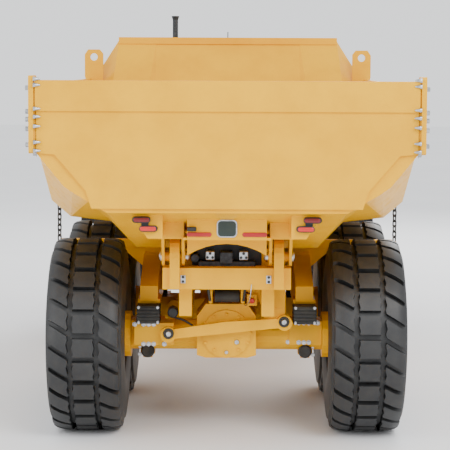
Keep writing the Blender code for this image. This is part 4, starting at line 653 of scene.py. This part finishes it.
def touch(node, origin, direction):
    """Where a straight line from origin first meets a node."""
    hit, place, _, _ = frame["nodes"][node].ray_cast(Vector(origin), Vector(direction))
    if not hit:
        raise ValueError(f"nothing of {node} in front of {tuple(origin)}")
    return place


def bolts_on(name, node, places, direction, surface, body, size=1.0):
    """Bolts where lines from these places meet a node, with their heads turned back along the line."""
    seats = [touch(node, place, direction) for place in places]
    return bolts(name, seats, -Vector(direction), surface, body, size)


def stadium(name, centre, half_width, half_height, depth, normal_y=-1.0):
    """An oval lens or plate: a cylinder pulled out sideways, its face inset twice into a low dome."""
    start_piece()
    bpy.ops.mesh.primitive_cylinder_add(
        vertices=32, radius=half_height, depth=depth, rotation=(math.radians(90.0), 0.0, 0.0)
    )
    piece = settle(name)
    for vertex in piece.data.vertices:
        vertex.co.x += math.copysign(half_width - half_height, vertex.co.x)
    edit(piece)
    pick_faces(piece, lambda _, normal: normal.y * normal_y > 0.9)
    bpy.ops.mesh.inset(thickness=half_height * 0.16)
    bpy.ops.transform.translate(value=(0.0, normal_y * depth * 0.12, 0.0))
    bpy.ops.mesh.inset(thickness=half_height * 0.34)
    bpy.ops.transform.translate(value=(0.0, normal_y * depth * 0.10, 0.0))
    leave_edit()
    piece.data.transform(Matrix.Translation(centre))
    return piece


def block(name, low, high, edge=0.004):
    """A plate or housing: a cube at its size, with its edges rounded."""
    low, high = Vector(low), Vector(high)
    start_piece()
    bpy.ops.mesh.primitive_cube_add(size=1.0, location=(low + high) / 2.0)
    bpy.context.object.scale = high - low
    piece = settle(name)
    if edge > 0.0:
        round_edges(piece, edge)
    return piece


def rounded_plate(name, low, high, corner):
    """A plate across the Y axis whose four corners are round."""
    piece = block(name, low, high, 0.0)
    edit(piece)
    bpy.ops.mesh.select_all(action="DESELECT")
    leave_edit()
    for edge in piece.data.edges:
        first, second = (piece.data.vertices[index].co for index in edge.vertices)
        edge.select = abs(first.x - second.x) < 1e-5 and abs(first.z - second.z) < 1e-5
    bpy.ops.object.mode_set(mode="EDIT")
    bpy.ops.mesh.select_mode(type="EDGE")
    bpy.ops.mesh.bevel(offset=corner, segments=6)
    leave_edit()
    shade(piece, 30.0)
    return piece


def stud(name, base, tip, radius, segments=20, chamfer=0.25):
    """A pin or boss between two points, with a chamfered end and a shallow centre recess."""
    base, tip = Vector(base), Vector(tip)
    length = (tip - base).length
    start_piece()
    bpy.ops.mesh.primitive_cylinder_add(vertices=segments, radius=radius, depth=length)
    piece = settle(name)
    edit(piece)
    pick_faces(piece, lambda _, normal: normal.z > 0.9)
    bpy.ops.mesh.extrude_region_move(TRANSFORM_OT_translate={"value": (0.0, 0.0, radius * chamfer)})
    bpy.ops.transform.resize(value=(1.0 - chamfer, 1.0 - chamfer, 1.0))
    bpy.ops.mesh.inset(thickness=radius * 0.35)
    bpy.ops.transform.translate(value=(0.0, 0.0, -radius * 0.10))
    leave_edit()
    turn = (tip - base).to_track_quat("Z", "Y").to_matrix().to_4x4()
    piece.data.transform(Matrix.Translation((base + tip) / 2.0) @ turn)
    shade(piece)
    return piece


def pipe(name, points, radius):
    """A bent pipe or clamped hose along a smooth line through these points."""
    curve = bpy.data.curves.new(name, "CURVE")
    curve.dimensions = "3D"
    curve.bevel_depth = radius
    curve.bevel_resolution = 3
    curve.resolution_u = 8
    curve.use_fill_caps = True
    line = curve.splines.new("BEZIER")
    line.bezier_points.add(len(points) - 1)
    for knot, place in zip(line.bezier_points, points):
        knot.co = place
        knot.handle_left_type = "AUTO"
        knot.handle_right_type = "AUTO"
    made = bpy.data.objects.new(name, curve)
    bpy.context.scene.collection.objects.link(made)
    start_piece()
    made.select_set(True)
    bpy.context.view_layer.objects.active = made
    bpy.ops.object.convert(target="MESH")
    piece = bpy.context.object
    piece.name = name
    shade(piece, 60.0)
    return piece


print("placing tools are ready")

# %% [markdown]
# ## Tail lights, reflectors and the plain badge
# Each tail light is a pair of oval lamps: a dark housing with a domed lens. The lens is thick coloured
# acrylic, so it is glossy and deep in tone; the upper lens of each pair carries a darker red as painted shade
# under the tub's edge. On the cross plate between the hinges sit two long reflectors, a small number-plate
# lamp and a plain raised badge with no mark on it.

# %% Lamps and lenses
for side, side_name in SIDES:
    low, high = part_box(f"tail_light_{side_name}")
    lamp_half = 0.080
    lens_half = 0.026
    rise = (high.z - low.z) / 2.0 - 0.028
    # The upper lens takes the darker red as painted shade; the lower lens takes the lit red.
    for step, surface, word in ((1.0, red_lens_painted_shade, "upper"), (-1.0, bright_red, "lower")):
        across = side * (0.7325 + step * 0.0285)
        height = (low.z + high.z) / 2.0 + step * rise
        seat = (across, low.y - 0.001, height)
        rim = stadium(f"lamp_rim_{word}_{side_name}", seat, lamp_half, lens_half, 0.010)
        dress(rim, trim, "dump_body")
        dome = (across, low.y - 0.009, height)
        lens = stadium(f"lamp_lens_{word}_{side_name}", dome, lamp_half - 0.008, lens_half - 0.007, 0.016)
        shade(lens, 50.0)
        dress(lens, surface, "dump_body")
print("four lamps")

# %% Cross plate: badge, reflectors, number-plate lamp
plate_face = touch("dump_body", (0.20, -6.5, 2.10), (0.0, 1.0, 0.0)).y
badge = rounded_plate("badge_plate", (-0.092, plate_face - 0.012, 2.020), (0.092, plate_face, 2.180), 0.040)
dress(badge, zinc, "dump_body")
badge_field = rounded_plate(
    "badge_field", (-0.081, plate_face - 0.014, 2.031), (0.081, plate_face - 0.004, 2.169), 0.031
)
dress(badge_field, plastic("satin_black_badge", "#22302A", "#1A2521", 0.35), "dump_body")
for side, side_name in SIDES:
    strip = stadium(f"reflector_{side_name}", (side * 0.250, plate_face - 0.005, 2.046), 0.112, 0.020, 0.012)
    dress(strip, reflector, "dump_body")
lamp_box = block("number_plate_lamp", (-0.36, plate_face - 0.045, 2.078), (-0.275, plate_face, 2.116), 0.008)
dress(lamp_box, trim, "dump_body")
print("cross plate face at y", round(plate_face, 3))

# %% [markdown]
# ## Tailgate bolts, hinge pins and chains
# The gate's panel is bolted to its two side arms, and the nuts end in tapered caps that point inwards. The
# tub turns on thick pins with chamfered ends. A chain's link is a ring of round bar pulled long, and each
# next link is turned a quarter turn.

# %% Tapered bolts along the tailgate's edges
gate_low, gate_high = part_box("tailgate")
arm_inner = gate_high.x - 0.045
BOLT_HEIGHTS = (0.015, 0.068, 0.275, 0.345, 0.429, 0.569, 0.644)


def tapered_bolt(name):
    start_piece()
    bpy.ops.mesh.primitive_cylinder_add(vertices=16, radius=0.021, depth=0.018)
    piece = settle(name)
    edit(piece)
    pick_faces(piece, lambda _, normal: normal.z > 0.9)
    bpy.ops.mesh.inset(thickness=0.004)
    bpy.ops.mesh.extrude_region_move(TRANSFORM_OT_translate={"value": (0.0, 0.0, 0.034)})
    bpy.ops.transform.resize(value=(0.62, 0.62, 1.0))
    bpy.ops.mesh.extrude_region_move(TRANSFORM_OT_translate={"value": (0.0, 0.0, 0.012)})
    bpy.ops.transform.resize(value=(0.4, 0.4, 1.0))
    leave_edit()
    shade(piece)
    return piece


cap_model = tapered_bolt("tapered_bolt")
for side, side_name in SIDES:
    caps = []
    for index, drop in enumerate(BOLT_HEIGHTS):
        turn = Matrix.Rotation(math.radians(-90.0 * side), 4, "Y")
        place = Vector((side * (arm_inner - 0.008), gate_low.y - 0.006, gate_high.z - drop - 0.015))
        caps.append(copy_piece(cap_model, f"gate_cap_{side_name}_{index}", Matrix.Translation(place) @ turn))
    dress(join_pieces(caps, f"tailgate_caps_{side_name}"), zinc, "tailgate")
    start, along = side * (gate_high.x + 0.3), gate_low.y + 0.048
    outer = [(start, along, gate_high.z - drop - 0.04) for drop in BOLT_HEIGHTS[1:]]
    name = f"tailgate_bolts_{side_name}"
    bolts_on(name, "tailgate", outer, (-side, 0.0, 0.0), zinc, "tailgate", 1.2)
bpy.data.objects.remove(cap_model)
print("tailgate bolts:", len(BOLT_HEIGHTS) * 2)

# %% Pins of the tub's hinges, the tailgate and the chains
dump_hinge = joint_place("dump_hinge")
for side, side_name in SIDES:
    for word, inner, outer in (("outer", 0.600, 0.622), ("inner", 0.385, 0.362)):
        pin = stud(
            f"tub_hinge_pin_{word}_{side_name}",
            (side * inner, dump_hinge.y, dump_hinge.z),
            (side * outer, dump_hinge.y, dump_hinge.z),
            0.046,
        )
        dress(pin, zinc, "dump_body")
    gate_pin = joint_place("tailgate_hinge")
    cap = stud(
        f"tailgate_pin_{side_name}",
        (side * (gate_high.x - 0.012), gate_pin.y, gate_pin.z),
        (side * (gate_high.x + 0.012), gate_pin.y, gate_pin.z),
        0.043,
    )
    dress(cap, zinc, "dump_body")
print("hinge pins at", tuple(round(value, 3) for value in dump_hinge))

# %% Chain links
LINK_BAR = 0.0075
LINK_WIDTH = 0.019
LINK_STRETCH = 0.016


def model_link():
    start_piece()
    bpy.ops.mesh.primitive_torus_add(
        major_segments=16,
        minor_segments=8,
        major_radius=LINK_WIDTH,
        minor_radius=LINK_BAR,
        rotation=(math.radians(90.0), 0.0, 0.0),
    )
    link = settle("chain_link")
    for vertex in link.data.vertices:
        vertex.co.z += math.copysign(LINK_STRETCH, vertex.co.z)
    shade(link, 60.0)
    return link


link_model = model_link()
link_pitch = 2.0 * (LINK_WIDTH + LINK_STRETCH) - 2.0 * LINK_BAR
for side, side_name in SIDES:
    node = f"tailgate_chain_{side_name}"
    low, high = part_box(node)
    count = int((high.z - low.z) / link_pitch) + 1
    step = (high.z - low.z - 2.0 * LINK_WIDTH) / (count - 1)
    links = []
    for index in range(count):
        place = Vector(((low.x + high.x) / 2.0, (low.y + high.y) / 2.0, low.z + LINK_WIDTH + index * step))
        turn = Matrix.Rotation(math.radians(45.0 + 90.0 * (index % 2)), 4, "Z")
        links.append(copy_piece(link_model, f"link_{side_name}_{index}", Matrix.Translation(place) @ turn))
    chain = join_pieces(links, f"{node}_links")
    dress(chain, chain_steel, node)
    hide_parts(node)
bpy.data.objects.remove(link_model)
print("links in each chain:", count)
# %% [markdown]
# ## The rear axle and its suspension
# Bolted joints tell the eye how big a machine is. Each axle hangs on laminated rubber blocks, thin steel
# plates vulcanised between layers of rubber, and on rods with bonded rubber bushes. The pins through the
# bushes are plated. Heads sit in rows where one casting is bolted to the next.

# %% Bolt rows, rod bushes and rubber blocks
BEHIND = -8.0
FORWARD = (0.0, 1.0, 0.0)
REARWARD = (0.0, -1.0, 0.0)
FRAME_NODES = ("rear_axle", "rear_frame", "rear_lateral_rod", "walking_beam_left", "walking_beam_right")


def face_from_behind(across, height, nodes=FRAME_NODES):
    """The first surface of these nodes that a line from behind meets."""
    met = []
    for node in nodes:
        start = Vector((across, BEHIND, height))
        hit, place, _, _ = frame["nodes"][node].ray_cast(start, Vector(FORWARD))
        if hit:
            met.append(place)
    return min(met, key=lambda place: place.y)


AXLE_ROWS = ((1.074, (0.885, 0.80, 0.752, 0.703)), (0.882, (0.80, 0.752, 0.703, 0.60)))
rows = []
for side, _ in SIDES:
    for height, places in AXLE_ROWS:
        rows += [face_from_behind(side * across, height) for across in places]
bolts("axle_plate_bolts", rows, REARWARD, zinc, "rear_frame", 1.0)

for word, across, height in (("left", -0.557, 0.999), ("right", 0.552, 1.117)):
    seat = touch("rear_lateral_rod", (across, BEHIND, height), FORWARD)
    bush = stud(f"rod_bush_{word}", seat, seat + Vector((0.0, -0.012, 0.0)), 0.052, 28, 0.12)
    dress(bush, block_rubber, "rear_frame")
    pin = stud(f"rod_pin_{word}", seat, seat + Vector((0.0, -0.030, 0.0)), 0.027, 20, 0.2)
    dress(pin, zinc, "rear_frame")

LAYERS = 5
for side, side_name in SIDES:
    for axle_y, axle_name in ((middle("rear_tyre_left").y, "rear"), (middle("middle_tyre_left").y, "middle")):
        back, front = axle_y - 0.365, axle_y - 0.085
        step = (1.255 - 1.087) / LAYERS
        layers = []
        for layer in range(LAYERS):
            low = 1.087 + layer * step
            inner, outer = sorted((side * 0.641, side * 0.867))
            pad = block(f"pad_{layer}", (inner, back, low), (outer, front, low + step * 0.80), 0.008)
            shim_low = (inner + 0.008, back + 0.008, low + step * 0.78)
            shim_high = (outer - 0.008, front - 0.008, low + step)
            plate_part = block(f"shim_{layer}", shim_low, shim_high, 0.001)
            layers += [pad, plate_part]
        stack = join_pieces(layers, f"rubber_block_{axle_name}_{side_name}")
        dress(stack, block_rubber, "rear_frame")

for side, side_name in SIDES:
    block_back = middle("rear_tyre_left").y - 0.365
    corners = [
        (side * across, block_back + 0.004, height) for across in (0.662, 0.846) for height in (1.100, 1.243)
    ]
    bolts(f"rubber_block_bolts_{side_name}", corners, REARWARD, zinc, "rear_frame", 0.7)

for side, side_name in SIDES:
    seat = face_from_behind(side * 0.767, 0.785)
    eye = stud(f"lower_rod_eye_{side_name}", seat, seat + Vector((0.0, -0.05, 0.0)), 0.066, 28, 0.2)
    dress(eye, block_rubber, "rear_frame")
    eye_bolts = [seat + Vector((side * 0.078, -0.004, up)) for up in (-0.04, 0.04)]
    bolts(f"lower_rod_bolts_{side_name}", eye_bolts, REARWARD, zinc, "rear_frame", 0.9)
print("rear suspension is dressed")

# %% Differential cover, cross rod bush and filler
seats = []
for turn in range(-60, 241, 30):
    across = 0.235 * math.cos(math.radians(turn))
    height = 0.985 + 0.185 * math.sin(math.radians(turn))
    seats.append(face_from_behind(across, height, ("rear_axle",)))
bolts("differential_cover_bolts", seats, REARWARD, yellow, "rear_frame", 0.8)
for word, across, height, radius in (("filler", 0.10, 0.90, 0.026), ("drain", 0.0, 0.80, 0.020)):
    seat = face_from_behind(across, height, ("rear_axle",))
    plug = stud(f"{word}_plug", seat, seat + Vector((0.0, -0.014, 0.0)), radius, 6, 0.15)
    dress(plug, zinc, "rear_frame")

frame_face = face_from_behind(0.0, 1.36, ("rear_frame", "rear_axle"))
bush_y = min(frame_face.y, face_from_behind(0.0, 1.20, ("rear_axle", "rear_frame")).y)
bush = stud("centre_bush", (-0.115, bush_y - 0.02, 1.352), (0.115, bush_y - 0.02, 1.352), 0.062, 28, 0.2)
dress(bush, block_rubber, "rear_frame")
for side, side_name in SIDES:
    inner, outer = sorted((side * 0.135, side * 0.175))
    ear = block(f"bush_ear_{side_name}", (inner, bush_y - 0.085, 1.285), (outer, bush_y + 0.20, 1.425), 0.012)
    dress(ear, yellow, "rear_frame")
print("differential and centre bush")

# %% Crossmember plates, valve block and hoses
for side_name, across in (("left", -0.408), ("right", 0.392)):
    seat = face_from_behind(across, 1.575, ("rear_frame",))
    tag = block(
        f"crossmember_plate_{side_name}",
        (across - 0.024, seat.y - 0.008, 1.537),
        (across + 0.024, seat.y, 1.613),
        0.002,
    )
    dress(tag, zinc, "rear_frame")
    places = [(across, seat.y - 0.008, 1.575 + up) for up in (-0.021, 0.021)]
    name = f"crossmember_bolts_{side_name}"
    bolts(name, places, REARWARD, cast_grey, "rear_frame", 0.6)

VALVE_BACK, VALVE_FRONT = -4.46, -4.30
valve = block("valve_block", (-0.27, VALVE_BACK, 1.625), (0.27, VALVE_FRONT, 1.725), 0.008)
dress(valve, cast_grey, "rear_frame")
centre = block("valve_centre", (-0.065, VALVE_BACK - 0.03, 1.70), (0.056, VALVE_FRONT, 1.815), 0.008)
dress(centre, cast_grey, "rear_frame")
for side, side_name in SIDES:
    seat_x = side * 0.158
    flange_low = (seat_x - 0.042, VALVE_BACK - 0.012, 1.735)
    flange_high = (seat_x + 0.042, VALVE_FRONT, 1.822)
    flange = block(f"hose_flange_{side_name}", flange_low, flange_high, 0.010)
    dress(flange, zinc, "rear_frame")
    heads = [
        (seat_x + along, VALVE_BACK - 0.012, 1.778 + up)
        for along, up in ((-0.024, -0.016), (0.0, 0.022), (0.024, -0.016))
    ]
    bolts(f"hose_flange_bolts_{side_name}", heads, REARWARD, trim, "rear_frame", 0.6)
    drop = [
        (side * 0.150, VALVE_BACK + 0.03, 1.70),
        (side * 0.190, VALVE_BACK + 0.10, 1.62),
        (side * 0.175, VALVE_BACK + 0.11, 1.45),
        (side * 0.160, VALVE_BACK + 0.16, 1.33),
    ]
    dress(pipe(f"valve_hose_{side_name}", drop, 0.014), hose_rubber, "rear_frame")
shroud_high = (0.345, VALVE_FRONT + 0.018, 1.900)
shroud = block("valve_shroud", (-0.345, VALVE_FRONT + 0.004, 1.640), shroud_high, 0.004)
dress(shroud, trim, "rear_frame")
gear = stud("valve_wheel", (-0.300, VALVE_FRONT, 1.755), (-0.300, VALVE_BACK - 0.02, 1.755), 0.042, 12, 0.15)
dress(gear, cast_grey, "rear_frame")

knob_plate = block("switch_plate", (0.195, bush_y - 0.06, 1.262), (0.293, bush_y - 0.045, 1.372), 0.004)
dress(knob_plate, yellow, "rear_frame")
stem = block("switch_bracket", (0.215, bush_y - 0.05, 1.285), (0.273, bush_y + 0.25, 1.350), 0.004)
dress(stem, yellow, "rear_frame")
tether = [
    (0.232, -4.642, 1.530),
    (0.220, -4.655, 1.42),
    (0.205, bush_y - 0.075, 1.29),
    (0.236, bush_y - 0.10, 1.30),
]
dress(pipe("knob_tether", tether, 0.0045), zinc, "rear_frame")
knob = stud("isolator_knob", (0.244, bush_y - 0.06, 1.313), (0.244, bush_y - 0.10, 1.313), 0.024, 24, 0.2)
dress(knob, red_knob, "rear_frame")
for side, side_name in SIDES:
    brake_hose = [
        (side * 0.52, bush_y + 0.14, 1.22),
        (side * 0.545, bush_y + 0.08, 1.16),
        (side * 0.40, bush_y + 0.02, 1.10),
        (side * 0.30, bush_y + 0.05, 1.03),
    ]
    dress(pipe(f"brake_hose_{side_name}", brake_hose, 0.011), hose_rubber, "rear_frame")
canister = stud("brake_canister", (-0.52, bush_y + 0.16, 1.18), (-0.52, bush_y + 0.02, 1.18), 0.052, 28, 0.2)
dress(canister, trim, "rear_frame")
print("crossmember and hoses")

# %% [markdown]
# ## Wheels
# A wheel of this size is held by a ring of nuts round a planetary hub. The hub's end cover has its own
# smaller ring of bolts and a shallow recess in the middle.

# %% Wheel nuts and hub covers
for axle_name in ("rear", "middle", "front"):
    for side, side_name in SIDES:
        node = f"{axle_name}_rim_{side_name}"
        body = f"{axle_name}_wheel_{side_name}"
        hub = middle(node)
        outside = side * 3.0
        nuts = []
        for place in ring((outside, hub.y, hub.z), 0.235, 20, "X"):
            nuts.append(touch(node, place, (-side, 0.0, 0.0)))
        bolts(f"wheel_nuts_{axle_name}_{side_name}", nuts, (side, 0.0, 0.0), zinc, body, 0.95)
        seat = touch(node, (outside, hub.y + 0.02, hub.z), (-side, 0.0, 0.0))
        cover_seat = Vector((seat.x, hub.y, hub.z))
        cover_top = cover_seat + Vector((side * 0.016, 0.0, 0.0))
        cover = stud(f"hub_cover_{axle_name}_{side_name}", cover_seat, cover_top, 0.12, 32, 0.1)
        dress(cover, rim_yellow, body)
        small = ring(cover_seat + Vector((side * 0.020, 0.0, 0.0)), 0.095, 8, "X")
        bolts(f"hub_bolts_{axle_name}_{side_name}", small, (side, 0.0, 0.0), zinc, body, 0.55)
print("wheel nuts on six wheels")

# %% [markdown]
# ## Cab, hood and front
# The front has a slatted grille and paired round headlamps behind clear lenses.
# Mirrors carry silvered glass, and the wiper lies at rest across the windscreen.

# %% Grille slats, headlamps, hood louvres
grille_low, grille_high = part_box("grille")
slats = []
SLATS = 7
gap = (grille_high.z - grille_low.z - 0.04) / SLATS
for index in range(SLATS):
    height = grille_low.z + 0.02 + (index + 0.5) * gap
    slats.append(
        block(
            f"slat_{index}",
            (grille_low.x + 0.02, grille_high.y - 0.004, height - gap * 0.22),
            (grille_high.x - 0.02, grille_high.y + 0.010, height + gap * 0.22),
            0.004,
        )
    )
dress(join_pieces(slats, "grille_slats"), trim, "hood")
for side, side_name in SIDES:
    for index, across in enumerate((0.36, 0.50)):
        seat = touch("front_bumper", (side * across, 8.0, 0.98), REARWARD)
        bowl = stud(f"headlamp_{side_name}_{index}", seat, seat + Vector((0.0, 0.006, 0.0)), 0.058, 32, 0.06)
        dress(bowl, chrome, "front_frame")
        lens_top = seat + Vector((0.0, 0.009, 0.0))
        lens = stud(f"headlamp_lens_{side_name}_{index}", seat, lens_top, 0.048, 32, 0.05)
        dress(lens, mirror_glass, "front_frame")
    seat = touch("front_bumper", (side * 0.62, 8.0, 0.98), REARWARD)
    lamp_low, lamp_high = seat + Vector((-0.035, -0.004, -0.04)), seat + Vector((0.035, 0.008, 0.04))
    lamp = block(f"indicator_{side_name}", lamp_low, lamp_high, 0.005)
    dress(lamp, amber, "front_frame")
hood_low, hood_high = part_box("hood")
for side, side_name in SIDES:
    louvres = []
    for index in range(6):
        height = 1.62 + index * 0.055
        along = (hood_low.y + hood_high.y) / 2.0
        seat = touch("hood", (side * 3.0, along, height), (-side, 0.0, 0.0))
        inner, outer = sorted((seat.x - side * 0.002, seat.x + side * 0.006))
        blade_high = (outer, along + 0.26, height + 0.022)
        louvres.append(block(f"louvre_{index}", (inner, along - 0.26, height), blade_high, 0.002))
    dress(join_pieces(louvres, f"hood_louvres_{side_name}"), trim, "hood")
print("front is dressed")

# %% Mirrors, wiper, door handle, aerial and beacon
for side_name in ("left", "right"):
    low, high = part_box(f"mirror_{side_name}")
    centre_x = (low.x + high.x) / 2.0
    head = touch(f"mirror_{side_name}", (centre_x, low.y - 1.0, high.z - 0.16), (0.0, 1.0, 0.0))
    silver_low, silver_high = head + Vector((-0.06, -0.003, -0.12)), head + Vector((0.06, 0.001, 0.12))
    silver = block(f"mirror_face_{side_name}", silver_low, silver_high, 0.002)
    dress(silver, mirror_glass, "front_frame")

screen_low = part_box("windscreen")[0]
OFF_GLASS = Vector((0.0, 0.012, 0.0))
arm_low = touch("windscreen", (0.10, 9.0, screen_low.z + 0.04), REARWARD) + OFF_GLASS
arm_high = touch("windscreen", (-0.30, 9.0, screen_low.z + 0.52), REARWARD) + OFF_GLASS
wiper_arm = pipe("wiper_arm", [arm_low, (arm_low + arm_high) / 2.0, arm_high], 0.007)
dress(wiper_arm, trim, "front_frame")
blade = [arm_high + Vector((-0.06, 0.002, -0.28)), arm_high, arm_high + Vector((0.03, 0.002, 0.16))]
dress(pipe("wiper_blade", blade, 0.008), hose_rubber, "front_frame")

door_low, door_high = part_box("cab_door")
door_out = touch("cab_door", (-4.0, door_high.y - 0.06, door_low.z + 0.62), (1.0, 0.0, 0.0))
GRIP_STEPS = ((0.0, 0.0, 0.0), (-0.03, 0.0, 0.02), (-0.03, 0.0, 0.14), (0.0, 0.0, 0.16))
grip = [door_out + Vector(step) for step in GRIP_STEPS]
dress(pipe("door_handle", grip, 0.008), trim, "cab_door")

roof_low, roof_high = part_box("cab_roof")
aerial_foot = Vector((0.0, roof_low.y + 0.25, roof_high.z - 0.02))
aerial_top = Vector((0.0, aerial_foot.y, min(3.98, cad_high.z)))
aerial = pipe("aerial", [aerial_foot, (aerial_foot + aerial_top) / 2.0, aerial_top], 0.006)
dress(aerial, trim, "front_frame")
beacon_foot = Vector((0.45, roof_low.y + 0.20, roof_high.z - 0.005))
beacon = stud("beacon", beacon_foot, beacon_foot + Vector((0.0, 0.0, 0.11)), 0.055, 28, 0.25)
dress(beacon, amber, "front_frame")
print("cab is dressed")

# %% Tank caps
for node in ("fuel_tank", "hydraulic_tank"):
    low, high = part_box(node)
    seat = Vector((math.copysign(1.0, low.x) * 1.02, (low.y + high.y) / 2.0, high.z))
    cap = stud(f"{node}_cap", seat, seat + Vector((0.0, 0.0, 0.03)), 0.055, 28, 0.15)
    dress(cap, trim, "front_frame")
print("tank caps")

# %% [markdown]
# ## Finish
# The model bolt that every bolt was copied from is removed.

# %% Remove the model bolt
bpy.data.objects.remove(bolt_model)
